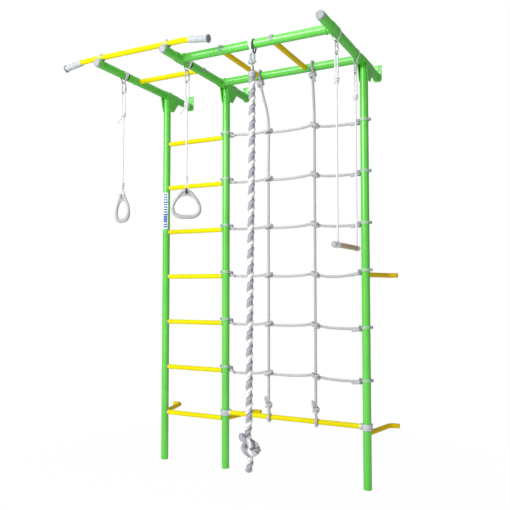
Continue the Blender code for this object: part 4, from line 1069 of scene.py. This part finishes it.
railWeld = ((tubeRadius - 0.001, 0.0), (tubeRadius + 0.0034, 0.0), (tubeRadius + 0.0040, 0.0008),
            (tubeRadius + 0.0040, 0.0030), (tubeRadius + 0.0030, 0.0036), (tubeRadius - 0.001, 0.0040))
for name, y, half, offsets in (("front", frontY, overhead["frontHalf"], (-overhead["boltOffset"], overhead["boltOffset"])),
                               ("rear", rearY, overhead["rearHalf"], (0.0,))):
    rail = roundBar(at(0.010, y, beamZ), at(layout["rightX"] - 0.010, y, beamZ), tubeRadius, 64, 0.0)
    parts = [rail]
    caps = []
    for x, inward in ((layout["middleX"], 1), (layout["rightX"], -1)):
        cope(rail, (x, y, beamZ), yAxis, tubeFit + overhead["saddleSheet"] * 0.4)
        middle = at(x, y, beamZ)
        saddle = openTube(middle, (math.pi / 2, 0, 0), tubeFit + overhead["saddleSheet"] / 2, 2 * half, 64,
                          lambda centre, normal: (centre.x - middle.x) * inward < 0)
        madeOfSheet(saddle, overhead["saddleSheet"], overhead["saddleRim"])
        parts += [saddle, spun(railWeld, at(x + inward * 0.0275, y, beamZ), xAxis * inward, 64, closed=True)]
        for offset in offsets:
            caps.append((at(x - inward * outer, y + offset, beamZ), -xAxis * inward))
        parts.append(curvedPlate(middle, yAxis, half * 0.92, tubeFit, 0.0028, xAxis * -inward, 58))
    finishPiece(fuse(parts), name + "Rail", "green", [name + "_rail"])
    hardware(domeCap, caps, name + "RailBolts", "green")

for number, x in enumerate(overhead["monkeyX"], start=1):
    rung = roundBar(at(x, frontY + overhead["inset"], beamZ), at(x, rearY - overhead["inset"], beamZ), barRadius, 48, 0.0)
    for y in (frontY, rearY):
        cope(rung, (x, y, beamZ), xAxis)
    # painted shade: the monkey rungs take the darker, more orange yellow
    finishPiece(rung, "monkeyRung" + str(number), "yellowPaintedShade", ["monkey_rung_" + str(number)])
washers = [curvedPlate(at(x, frontY, beamZ), xAxis, 0.0100, tubeFit, 0.0022, overhead["boltLean"], 58)
           for x in overhead["monkeyX"]]
lift = outer + 0.0018
domes = [aim(copyOf(domeCap), at(x, frontY - lift * 0.80, beamZ + lift * 0.60), overhead["boltLean"])
         for x in overhead["monkeyX"]]
finishPiece(fuse([*washers, *domes]), "monkeyRungCaps", "cap")
print("overhead bars made")


# net bar with its collars, and the wall feet
netBar = dict(z=0.325, collarSheet=0.009, collarHalf=0.0165, waist=0.0016, waistHalf=0.006, inset=0.012, gap=0.004)
bar = roundBar(at(netBar["inset"], 0, netBar["z"]), at(layout["rightX"] - netBar["inset"], 0, netBar["z"]), barRadius, 48,
               0.0)
collars = []
for x, inward in ((layout["middleX"], xAxis), (layout["rightX"], -xAxis)):
    cope(bar, (x, 0, netBar["z"]), zAxis, tubeRadius + netBar["gap"])
    outside, half = tubeRadius + netBar["collarSheet"], netBar["collarHalf"]
    waist, waistHalf = outside - netBar["waist"], netBar["waistHalf"]
    collars.append(spun(((tubeFit, -half), (outside - 0.002, -half), (outside, -half + 0.003), (waist, -waistHalf),
                         (waist, waistHalf), (outside, half - 0.003), (outside - 0.002, half), (tubeFit, half)),
                        at(x, 0, netBar["z"]), zAxis, 64, closed=True, rim=0.0006))
    collars.append(spun(((barRadius + 0.0002, tubeRadius + netBar["gap"]), (barRadius + 0.003, tubeRadius + netBar["gap"]),
                         (barRadius + 0.003, tubeRadius + 0.0145), (barRadius + 0.0002, tubeRadius + 0.016)),
                        at(x, 0, netBar["z"]), inward, 48, closed=True, rim=0.0005))
finishPiece(bar, "netBar", "yellow", ["net_bar"])
finishPiece(fuse(collars), "netBarCollars", "collar")

feet = dict(radius=0.0135, offset=0.056, toe=0.052, corner=0.030, crown=0.0015, upperGap=0.0033)
for side, x, z, way in (("left", layout["leftX"], rungZ[0], -1), ("middle", layout["middleX"], rungZ[0], 1),
                        ("right", layout["rightX"], rungZ[0], 1), ("upper", layout["rightX"], rungZ[3], 1)):
    corner = Vector((x + way * feet["offset"], wallY - feet["radius"], z))
    start = Vector((x, 0.0, z))
    arm = (corner - start).normalized()
    toe = corner + xAxis * way * (feet["toe"] - feet["crown"])
    curve = []
    for step in range(13):
        t = step / 12
        curve.append(corner - arm * feet["corner"] * (1 - t) ** 2 + xAxis * way * feet["corner"] * t ** 2)
    foot = bentBar([point - origin for point in (start + arm * 0.012, *curve, toe)], feet["radius"], sides=40)
    endX = (toe - origin).x
    pickFaces(foot, lambda centre, normal: abs(centre.x - endX) < 1e-4 and abs(normal.x) > 0.95)
    bpy.ops.mesh.inset(thickness=0.003)
    bpy.ops.transform.translate(value=(way * feet["crown"], 0, 0))
    leaveEdit()
    cope(foot, (x, 0, z), zAxis, tubeFit + (feet["upperGap"] if side == "upper" else 0))
    # painted shade: the wall feet take the darker, more orange yellow
    finishPiece(foot, "wallFoot" + side.capitalize(), "yellowPaintedShade", ["wall_foot_" + side])
print("net bar and wall feet made")


# climbing net
net = dict(ropeRadius=0.0086, pitch=0.040, lineX=(0.860 / 3, 0.860 * 2 / 3), topX=(0.262, 0.586), lineY=-0.0070,
           rowY=0.0078, clampSheet=0.003, clampHalf=0.0085, clampLift=0.0255, lugReach=0.020, lugHalfY=0.0085, lugHalfZ=0.016,
           earReach=0.012, earHalfY=0.0075, rises=(0.012, 0.003, 0.004, -0.008), sag=0.006, wrapRadius=0.0156,
           wrapDrop=0.0055, hitchRadius=0.0182, hitchTurns=1.15, hitchLean=0.62, upperLift=0.026,
           drops=(0.020, 0.015, 0.011, 0.010, 0.010, 0.002), knotTurns=2.2,
           lowKnot=dict(rise=0.064, size=0.0128, length=0.028), highKnot=dict(drop=0.038, size=0.0160, length=0.030),
           tieHalf=0.0065)


def netRope(points, thinner=0.0, spacing=0.003, taper=True):
    return sweepRope(evenLine(points, spacing), net["ropeRadius"] - thinner, net["pitch"], taper=taper)


def rowRoute(z, lift, drop):
    lugEnd = tubeRadius + net["lugReach"] - 0.008
    heights = [z + rise for rise in net["rises"]]
    rowY, wrap, wrapDrop = net["rowY"], net["wrapRadius"], net["wrapDrop"]
    previousX, previousZ = lugEnd + 0.034, heights[0] - drop
    points = [(lugEnd, rowY, heights[0] - 0.3 * drop), (lugEnd + 0.014, rowY, heights[0] - 0.7 * drop),
              (previousX, rowY, previousZ)]
    for x, height in zip(net["lineX"], heights[1:3]):
        span = x - previousX
        for share in (0.25, 0.5, 0.75):
            sag = net["sag"] * math.sin(math.pi * share)
            points.append((previousX + span * share, rowY, previousZ + (height + wrapDrop - previousZ) * share - sag))
        points.append((x - 0.024, rowY - 0.001, height + wrapDrop))
        for step in range(17):  # one turn round the upright line, from behind
            share = step / 16
            angle = math.pi / 2 - 2 * math.pi * share
            points.append((x + wrap * math.cos(angle), net["lineY"] + wrap * math.sin(angle),
                           height + wrapDrop - 2 * wrapDrop * share))
        points.append((x + 0.024, rowY - 0.001, height - wrapDrop))
        previousX, previousZ = x, height - wrapDrop
    endX = layout["rightX"] - lugEnd
    for share in (0.25, 0.5, 0.75, 1.0):
        sag = net["sag"] * math.sin(math.pi * share)
        points.append((previousX + (endX - previousX) * share, rowY,
                       previousZ + (heights[3] - previousZ) * share - sag + 0.8 * lift * share ** 3))
    return curveThrough(points, 4)


def netClamp(x, z, inward, ropeZ):
    # band round the upright, the lug that holds the rope, and the bolted ears behind
    outside, half = tubeFit + net["clampSheet"], net["clampHalf"]
    band = spun(((tubeFit, -half), (outside - 0.0006, -half), (outside, -half + 0.0016), (outside, half - 0.0016),
                 (outside - 0.0006, half), (tubeFit, half)), at(x, 0, z), zAxis, 64, closed=True)
    reach = tubeRadius + 0.0015
    low, high = sorted((x + inward * reach, x + inward * (reach + net["lugReach"])))
    middleY = net["rowY"] - 0.002
    lug = block(at(low, middleY - net["lugHalfY"], ropeZ - net["lugHalfZ"]),
                at(high, middleY + net["lugHalfY"], ropeZ + net["lugHalfZ"]), 0.0045, 5)
    low, high = sorted((x - inward * reach, x - inward * (reach + net["earReach"])))
    ear = block(at(low, -net["earHalfY"], z - half + 0.001), at(high, net["earHalfY"], z + half - 0.001), 0.0018, 4)
    return band, lug, ear


def lockingHitch(x, z, lean):
    # the turn that locks a knot of the net
    reach = net["hitchRadius"]
    points = []
    for step in range(29):
        angle = math.pi / 2 - 2 * math.pi * net["hitchTurns"] * step / 28
        points.append(at(x + reach * math.cos(angle), net["lineY"] + reach * math.sin(angle),
                         z + lean * reach * math.cos(angle) + 0.005 * (step / 14 - 1)))
    return netRope(points)


for number, (z, drop) in enumerate(zip(rungZ[1:], net["drops"]), start=1):
    lift = net["upperLift"] if number == 3 else 0.0  # the third row clears the upper wall foot
    ropes = [netRope(rowRoute(z, lift, drop), taper=False)]
    for x, rise, lean in zip(net["lineX"], net["rises"][1:3], (net["hitchLean"], -net["hitchLean"])):
        ropes.append(lockingHitch(x, z + rise, lean))
    # the rope's ends are turned back on themselves
    near, far = tubeRadius + net["lugReach"], layout["rightX"] - (tubeRadius + net["lugReach"])
    nearRise, farRise = net["rises"][0], net["rises"][3]
    folds = (((near - 0.006, -0.008, nearRise - 0.002), (near + 0.008, -0.011, nearRise - 0.5 * drop - 0.006),
              (near + 0.022, -0.011, nearRise - 0.8 * drop - 0.007)),
             ((far + 0.006, -0.006, farRise + 0.8 * lift - 0.006), (far - 0.016, -0.008, farRise + 0.75 * lift - 0.010),
              (far - 0.040, -0.009, farRise + 0.60 * lift - 0.012)))
    for fold in folds:
        ropes.append(netRope(curveThrough([(px, net["rowY"] + py, z + pz) for px, py, pz in fold], 5), 0.0006))
    finishPiece(fuse(ropes), "netRow" + str(number), "netRope", ["net_row_" + str(number)], smooth=0)
    clamps = (netClamp(0.0, z + net["clampLift"], 1, z + nearRise),
              netClamp(layout["rightX"], z + lift, -1, z + farRise + 0.8 * lift))
    finishPiece(fuse([band for band, lug, ear in clamps]), "netBands" + str(number), "band")
    finishPiece(fuse([part for clamp in clamps for part in clamp[1:]]), "netLugs" + str(number), "lug")
print("net rows made")


def ropeKnot(centre, axis, size, length):
    # a compact knot: the rope coiled on itself round an axis
    axis = Vector(axis).normalized()
    helper = xAxis if abs(axis.x) < 0.9 else yAxis
    first = axis.cross(helper).normalized()
    second = axis.cross(first)
    points = []
    steps = 44
    for step in range(steps + 1):
        share = step / steps
        angle = 2 * math.pi * net["knotTurns"] * share
        swell = 1.0 - 0.3 * abs(2 * share - 1) ** 3
        points.append(centre + size * swell * (math.cos(angle) * first + math.sin(angle) * second)
                      + axis * length * (share - 0.5))
    return netRope(points, spacing=0.0025)


lowTie, highTie = barRadius + layout["clearance"] + net["ropeRadius"], tubeFit + net["ropeRadius"]
tieHalf = net["tieHalf"]
for number, (x, topX) in enumerate(zip(net["lineX"], net["topX"]), start=1):
    barZ, lineY, topY = netBar["z"], net["lineY"], overhead["rearY"]
    lowZ, highZ, lastZ = barZ + net["lowKnot"]["rise"], beamZ - net["highKnot"]["drop"], rungZ[-1] + 0.06
    # round the net bar
    points = [(x + 0.0050, lineY - 0.012, lowZ - 0.004), (x + 0.0065, lineY - 0.013, barZ + 0.032)]
    for index, turn in enumerate((60, 100, 140, 180, 220, 260, 300, 330)):
        angle = math.radians(turn)
        points.append((x + 2 * tieHalf * (1 - index / 7) - tieHalf, -lowTie * math.sin(angle),
                       barZ + lowTie * math.cos(angle)))
    # up past the rows
    points += [(x - 0.005, lineY + 0.014, barZ + 0.034), (x - 0.003, lineY + 0.010, lowZ - 0.010),
               (x, lineY, lowZ + 0.012), (x, lineY, rungZ[1] - 0.05)]
    for share in (0.2, 0.4, 0.6, 0.8):
        points.append((x, lineY, rungZ[1] - 0.05 + share * (rungZ[-1] + 0.11 - rungZ[1])))
    points += [(x, lineY, lastZ), (x * 0.35 + topX * 0.65, lineY * 0.35 + topY * 0.65,
                                   lastZ + 0.65 * (highZ - rungZ[-1] - 0.06)), (topX, topY, highZ - 0.012)]
    # round the rear rail
    for turn in (150, 110, 70, 30, -10, -50, -90, -130, -160):
        angle = math.radians(turn)
        points.append((topX + tieHalf - 2 * tieHalf * (150 - turn) / 310, topY - highTie * math.sin(angle),
                       beamZ + highTie * math.cos(angle)))
    ropes = [netRope(curveThrough(points, 5)),
             ropeKnot(at(x, lineY + 0.003, lowZ), (0.25, 0, 1), net["lowKnot"]["size"], net["lowKnot"]["length"]),
             ropeKnot(at(topX, topY, highZ - 0.004), (-0.2, 0.1, 1), net["highKnot"]["size"], net["highKnot"]["length"])]
    for tail in (((x, lineY - 0.006, lowZ), (x - 0.010, lineY - 0.014, lowZ + 0.020),
                  (x - 0.013, lineY - 0.016, lowZ + 0.054)),
                 ((topX, topY - 0.006, highZ), (topX + 0.013, topY - 0.014, highZ - 0.018),
                  (topX + 0.019, topY - 0.016, highZ - 0.050))):
        ropes.append(netRope(curveThrough(tail, 5), 0.0004))
    finishPiece(fuse(ropes), "netLine" + str(number), "netRope", ["net_line_" + str(number)], smooth=0)
print("net lines made")


# slings, links and what hangs on them
slingRadius = tubeRadius + hanging["slingSheet"]


def roundPoint(middle, sideways, radius, angle):
    return middle + radius * (math.cos(angle) * sideways + math.sin(angle) * zAxis)


def slingLoop(place, sideways, across, half, name, look, body, replaced=()):
    small, end = hanging["slingSmall"], hanging["slingEnd"]
    lowPlace = place - zAxis * hanging["slingDrop"]
    spread = math.acos((slingRadius - small) / hanging["slingDrop"])
    points, widths = [], []

    def straight(last, lastWidth):
        # from where the tape is to its next bend
        start, startWidth = points[-1], widths[-1]
        for step in range(1, 8):
            share = step / 8
            points.append(start.lerp(last, share))
            widths.append(startWidth + (lastWidth - startWidth) * share)

    for step in range(41):
        angle = -math.pi / 2 + spread + (2 * math.pi - 2 * spread) * step / 40
        points.append(roundPoint(place, sideways, slingRadius, angle))
        widths.append(end + (half - end) * min(1.0, max(0.0, 0.75 + 0.9 * math.sin(angle))))
    straight(roundPoint(lowPlace, sideways, small, -math.pi / 2 - spread), end)
    for step in range(13):  # the small bend that holds the link
        points.append(roundPoint(lowPlace, sideways, small, -math.pi / 2 - spread + 2 * spread * step / 12))
        widths.append(end)
    straight(points[0], widths[0])
    strap = strapLoop(points, across, widths, hanging["slingSheet"])
    return finishPiece(strap, name, look, replaced, body, smooth=40)


def paintedShadeBesideSling(place, name, body):
    # painted shade: a dark strip beside the ring's sling, round the tube only, so the link swings clear of it
    points = [roundPoint(place, xAxis, slingRadius, 2 * math.pi * step / 48) for step in range(48)]
    strap = strapLoop(points, yAxis, [hanging["edgeHalf"]] * 48, hanging["slingSheet"])
    finishPiece(strap, name, "darkTapeAndPaintedShade", body=body, smooth=40)


def ovalLine(top, sideways, height, half, corner, steps=8):
    points = []
    low = -(height - corner)
    centres = ((half - corner, -corner), (corner - half, -corner), (corner - half, low), (half - corner, low))
    for index, (centreSide, centreZ) in enumerate(centres):
        for step in range(steps + 1):
            angle = math.pi / 2 * (index + step / steps)
            points.append(top + sideways * (centreSide + corner * math.cos(angle))
                          + zAxis * (centreZ + corner * math.sin(angle)))
    return points


hook = dict(corner=0.010, sleeveHalf=0.013, sleevePlace=0.46, pinPlace=0.80, pinHalf=0.0044, pinRadius=0.0014,
            nosePlace=0.20)


def springLink(top, sideways, through, name, node, body):
    # spring hook: bent wire, the gate in its own side with a pin, a nose and a screw sleeve
    wire, height, half = hanging["wire"], hanging["linkHeight"], hook["sleeveHalf"]
    loop = bentBar(ovalLine(top, sideways, height, hanging["linkHalf"], hook["corner"]), wire, closed=True, sides=20)
    side = top + sideways * hanging["linkHalf"]
    sleeve = spun(((wire + 0.0001, -half), (wire + 0.0016, -half), (wire + 0.0020, -0.010), (wire + 0.0020, 0.010),
                   (wire + 0.0016, half), (wire + 0.0001, half)), side - zAxis * height * hook["sleevePlace"], zAxis, 28,
                  closed=True, rim=0.0003)
    pinPlace, pinReach = side - zAxis * (height * hook["pinPlace"]), through * hook["pinHalf"]
    pin = roundBar(pinPlace - pinReach, pinPlace + pinReach, hook["pinRadius"], 16, 0.0003)
    nose = spun(((0, -0.003), (wire + 0.0008, -0.003), (wire + 0.0008, 0.002), (wire, 0.004), (0, 0.004)),
                side - zAxis * (height * hook["nosePlace"]), zAxis, 20, rim=0.0004)
    return finishPiece(fuse([loop, sleeve, pin, nose]), name, "steel", [node], body)


for prefix, x, y, hanger, half in (
        ("ring_left", layout["leftX"], ringCord["ringY"], "ring_left_hanger", hanging["slingHalf"]),
        ("ring_middle", layout["middleX"], ringCord["ringY"], "ring_middle_hanger", hanging["slingHalf"]),
        ("trapeze_front", layout["rightX"], trapeze["cordY"][0], "trapeze_hanger", hanging["thinSlingHalf"]),
        ("trapeze_rear", layout["rightX"], trapeze["cordY"][1], "trapeze_hanger", hanging["thinSlingHalf"])):
    slingLoop(at(x, y, beamZ), xAxis, yAxis, half, prefix + "Sling", "tape", hanger, [prefix + "_sling"])
    if prefix.startswith("ring"):
        # painted shade: a dark strip beside the ring's sling
        paintedShadeBesideSling(at(x, y + half + hanging["edgeGap"], beamZ), prefix + "SlingEdge", hanger)
    springLink(at(x, y, topWireZ), yAxis, xAxis, prefix + "Link", prefix + "_link", prefix + "_line")

topX, ropeY, topZ = climbing["topX"], climbing["y"], climbing["topZ"]
slingX = topX - 0.003
slingLoop(at(slingX, ropeY, beamZ), yAxis, xAxis, hanging["ropeSlingHalf"], "ropeSling", "tape", "rope_hanger",
          ["rope_sling"])
slingLoop(at(slingX + hanging["ropeSlingHalf"] + hanging["ropeEdgeGap"], ropeY, beamZ), yAxis, xAxis, hanging["slingEnd"],
          "ropeSlingEdge", "darkTapeAndPaintedShade", "rope_hanger")
# a bow shackle with its pin through the rope's eye
shackle = dict(wire=0.0060, half=0.0105, height=0.052, pin=0.0052, pinHalf=0.021, head=0.0078, eye=0.0078, core=0.0125,
               coreHalf=0.0065)
bowTop = topWireZ + hanging["wire"] - shackle["wire"]
pinZ = bowTop - shackle["height"] + shackle["wire"]


def onPin(offset):
    return at(topX + offset, ropeY, pinZ)


bow = [onPin(shackle["half"])]
for step in range(17):
    angle = math.pi * step / 16
    bow.append(at(topX + shackle["half"] * math.cos(angle), ropeY,
                  bowTop - shackle["half"] + shackle["half"] * math.sin(angle)))
bow.append(onPin(-shackle["half"]))
parts = [bentBar(evenLine(bow, 0.004), shackle["wire"], sides=24)]
for way in (-1, 1):
    parts.append(spun(((0, -0.0048), (0.0066, -0.0048), (0.0080, -0.0034), (0.0080, 0.0034), (0.0066, 0.0048), (0, 0.0048)),
                      onPin(way * shackle["half"]), xAxis, 32, rim=0.0006))
parts.append(roundBar(onPin(-shackle["pinHalf"]), onPin(shackle["pinHalf"]), shackle["pin"], 28, 0.0006))
parts.append(roundBar(onPin(-shackle["coreHalf"]), onPin(shackle["coreHalf"]), shackle["core"], 40, 0.0015))
parts.append(roundBar(at(topX - shackle["pinHalf"] - 0.001, ropeY, pinZ),
                      at(topX - shackle["pinHalf"] + 0.005, ropeY, pinZ), shackle["head"], 28, 0.0012))
finishPiece(fuse(parts), "ropeLink", "clamp", ["rope_link"], "rope_line")
eyePlaces = arcPlaces(topX, ropeY, pinZ, yAxis, shackle["eye"], range(0, 360, 12))
eye = bentBar([at(px, py, pz - 0.0012) for px, py, pz in eyePlaces], hanging["wire"], closed=True, sides=20)
stem = spun(((0, 0.0003), (0.0120, 0.0003), (0.0122, 0.0016), (0.0100, 0.0030), (0.0088, 0.0046), (0.0086, 0.024),
             (0.0094, 0.0285), (0.0086, 0.0345), (0.0050, 0.0385), (0, 0.0385)), at(topX, ropeY, topZ), zAxis, 40)
sleeve = spun(((0.0184, 0.002), (0.0193, 0.0008), (0.0195, -0.010), (0.0189, -0.0115), (0.0195, -0.013), (0.0193, -0.0215),
               (0.0182, -0.0235), (0.0120, -0.0235), (0.0120, 0.002)), at(topX, ropeY, topZ), zAxis, 40, closed=True)
finishPiece(fuse([eye, stem]), "ropeEye", "steel", ["rope_eye"], "rope_line")
finishPiece(sleeve, "ropeSleeve", "clamp", body="rope_line")
print("slings and links made")


# rings: a triangular loop, thicker where it is held, with a web under the cord
ringForm = dict(outline=((0.022, -0.008), (0.044, -0.034), (0.0635, -0.063), (0.0725, -0.093), (0.0670, -0.120),
                         (0.0480, -0.1365), (0.023, -0.1425)),
                wire=0.0082, grip=0.0112, webHalf=0.0035, webReach=0.040, archTop=0.028, archCurve=9.4, slotHalf=0.0072,
                slotLow=0.0205, columns=18)


def webHeights(reach):
    # the web's upper edge lies in the loop's wire, and its lower edge is an arch
    spots = [(0.0, 0.0), *ringForm["outline"][:2]]
    reach = abs(reach)
    for (nearX, nearZ), (farX, farZ) in zip(spots, spots[1:]):
        if reach <= farX:
            break
    upper = nearZ + (farZ - nearZ) * (reach - nearX) / (farX - nearX)
    return upper, min(-ringForm["archTop"] - ringForm["archCurve"] * reach * reach, upper - 0.001)


def makeWeb(apex, across):
    # a grid with a slot for the cord, each vertex moved to its place in the loop
    columns, slot = ringForm["columns"], ringForm["slotHalf"]
    web = addShape(bpy.ops.mesh.primitive_grid_add, x_subdivisions=columns, y_subdivisions=2, size=2.0)
    pickFaces(web, lambda centre, normal: abs(centre.x) < 1.0 / columns * 2 and centre.y > 0)
    dropPicked()
    for vertex in web.data.vertices:
        share = vertex.co.x * columns / 2
        reach = share * slot / 2
        if abs(share) >= 2.1:
            outwards = slot + (ringForm["webReach"] - slot) * (abs(share) - 2) / (columns / 2 - 2)
            reach = math.copysign(outwards, share)
        upper, lower = webHeights(reach)
        middle = max(lower + 0.0006, min(-ringForm["slotLow"], upper - 0.0003))
        height = upper if vertex.co.y > 0.5 else lower if vertex.co.y < -0.5 else middle
        vertex.co = apex + across * reach + zAxis * height
    return settleMesh(thicken(web, 2 * ringForm["webHalf"]))


lowest = ringForm["outline"][-1][1]
half = smoothLine([(a, 0, b) for a, b in ((0.0, 0.0), *ringForm["outline"], (0.0, lowest))], 8)
flat = half + [Vector((-point.x, 0, point.z)) for point in reversed(half[1:-1])]
thicker = ringForm["grip"] / ringForm["wire"] - 1.0
radii = [1.0 + thicker * max(0.0, min(1.0, 2.5 * point.z / lowest - 1.5)) for point in flat]
for side, x, turn in ringPlaces:
    across, through = ringTurn(turn)
    apex = at(x, ringCord["ringY"], ringCord["apexZ"])
    loop = bentBar([apex + across * point.x + zAxis * point.z for point in flat], ringForm["wire"], closed=True,
                   radii=radii, sides=28)
    finishPiece(fuse([loop, makeWeb(apex, across)]), "ring" + side.capitalize(), "ring", ["ring_" + side],
                "ring_" + side + "_grip")

# trapeze bar and the cord wound round it
lowY, highY = trapeze["barY"]
length, radius, rim = highY - lowY, trapeze["barRadius"], trapeze["rim"]
groove, grooveHalf = trapeze["groove"], trapeze["grooveHalf"]
barStart = at(layout["rightX"], lowY, trapeze["barZ"])
profile = [(0, 0), (radius - rim, 0), (radius - rim * 0.3, rim * 0.3), (radius, rim)]
for y in trapeze["cordY"]:
    place = y - lowY
    profile += [(radius, place - 0.014), (radius - groove, place - grooveHalf), (radius - groove, place + grooveHalf),
                (radius, place + 0.014)]
profile += [(radius, length - rim), (radius - rim * 0.3, length - rim * 0.3), (radius - rim, length), (0, length)]
finishPiece(spun(profile, barStart, yAxis, 56), "trapezeBar", "wood", ["trapeze_bar"], "trapeze_grip")
plug = spun(((0, 0.0010), (radius - 0.0002, 0.0010), (radius + 0.0006, 0.0004), (radius + 0.0006, -0.0016),
             (radius - 0.0012, -0.0034), (0, -0.0040)), barStart, yAxis, 48)
finishPiece(plug, "trapezePlug", "cap", body="trapeze_grip")
for end, y, (low, high) in zip(("Front", "Rear"), trapeze["cordY"], trapeze["wound"]):
    wind = []
    steps = 24 * round((high - low) / trapeze["windPitch"])
    for step in range(steps + 1):
        angle = 2 * math.pi * step / 24
        along = low + (high - low) * step / steps
        reach = radius + 0.0024 - groove * (abs(along) < 0.0125)
        wind.append(at(layout["rightX"] + reach * math.sin(angle), y + along, trapeze["barZ"] + reach * math.cos(angle)))
    winding = roundCord(evenLine(wind, 0.002), trapeze["windRadius"], 10)
    finishPiece(winding, "trapezeWinding" + end, "cord", body="trapeze_grip", smooth=0)
print("rings and trapeze made")
for template in (hexBolt, domeCap, tallCap):
    discard(template)

# floor, world and lights
studio = dict(floorSize=14.0, nearWhite=0.975, floorColour=(0.93, 0.93, 0.94), floorPatch=(0.91, 0.91, 0.92),
              shadowMiddle=(0.2, -0.2, 0), shadowReach=(0.9, 2.2), skyColour=(0.93, 0.95, 1.0), worldStrength=0.30,
              target=(0.2, -0.2, 1.3), keyPower=236.0, fillPower=20.0, topPower=34.0)


def mixForCamera(tree, share, first, second, output):
    mix = addNode(tree, "ShaderNodeMixShader")
    for socket, source in zip(mix.inputs, (share, first.outputs[0], second.outputs[0])):
        join(tree, source, socket)
    join(tree, mix.outputs[0], tree.nodes[output].inputs["Surface"])


floor = addShape(bpy.ops.mesh.primitive_plane_add, size=studio["floorSize"], location=at(0, -1.0, 0))
floor.name = "studioFloor"
floorMaterial, tree, shader, place = newMaterial("paleFloor", 0.9)
finish = useGroup(tree, finishGroup, place["Object"], Patch_Scale=1.5, Grain_Scale=60.0, Grain_Strength=0.05)
join(tree, mixColours(tree, finish["Patches"], studio["floorColour"], studio["floorPatch"]), shader.inputs["Base Color"])
light = addNode(tree, "ShaderNodeEmission")
light.inputs["Color"].default_value = (1, 1, 1, 1)
seen = addNode(tree, "ShaderNodeLightPath").outputs["Is Camera Ray"]
away = addNode(tree, "ShaderNodeVectorMath", operation="DISTANCE")  # the shadow shows near the object and fades out
away.inputs[1].default_value = at(*studio["shadowMiddle"])
join(tree, place["Object"], away.inputs[0])
fade = addNode(tree, "ShaderNodeMapRange", interpolation_type="SMOOTHSTEP")
for key, value in zip(("From Min", "From Max", "To Min", "To Max"), (*studio["shadowReach"], studio["nearWhite"], 1.0)):
    fade.inputs[key].default_value = value
join(tree, away.outputs["Value"], fade.inputs["Value"])
mixForCamera(tree, mathNode(tree, "MULTIPLY", seen, fade.outputs["Result"]), shader, light, "Material Output")
floor.data.materials.append(floorMaterial)

world = bpy.data.worlds.new("studio")
scene.world = world
world.use_nodes = True
tree = world.node_tree
background = tree.nodes["Background"]
white = addNode(tree, "ShaderNodeBackground")
for node, colour, strength in ((background, studio["skyColour"], studio["worldStrength"]), (white, (1, 1, 1), 1.0)):
    node.inputs["Color"].default_value = (*colour, 1)
    node.inputs["Strength"].default_value = strength
mixForCamera(tree, addNode(tree, "ShaderNodeLightPath").outputs["Is Camera Ray"], background, white, "World Output")

for name, place, size, power in (("keyLight", (-1.3, -4.6, 2.9), 2.4, studio["keyPower"]),
                                 ("fillLight", (4.2, -3.0, 1.8), 2.6, studio["fillPower"]),
                                 ("topLight", (0.6, -1.0, 4.4), 2.2, studio["topPower"])):
    bpy.ops.object.select_all(action="DESELECT")
    bpy.ops.object.light_add(type="AREA", location=at(*place))
    lamp = bpy.context.object
    lamp.name = name
    lamp.data.energy = power
    lamp.data.size = size
    lamp.rotation_euler = (at(*studio["target"]) - at(*place)).to_track_quat("-Z", "Y").to_euler()
scene.view_settings.view_transform = "Standard"
print("studio set,", len(finishedNames), "pieces")
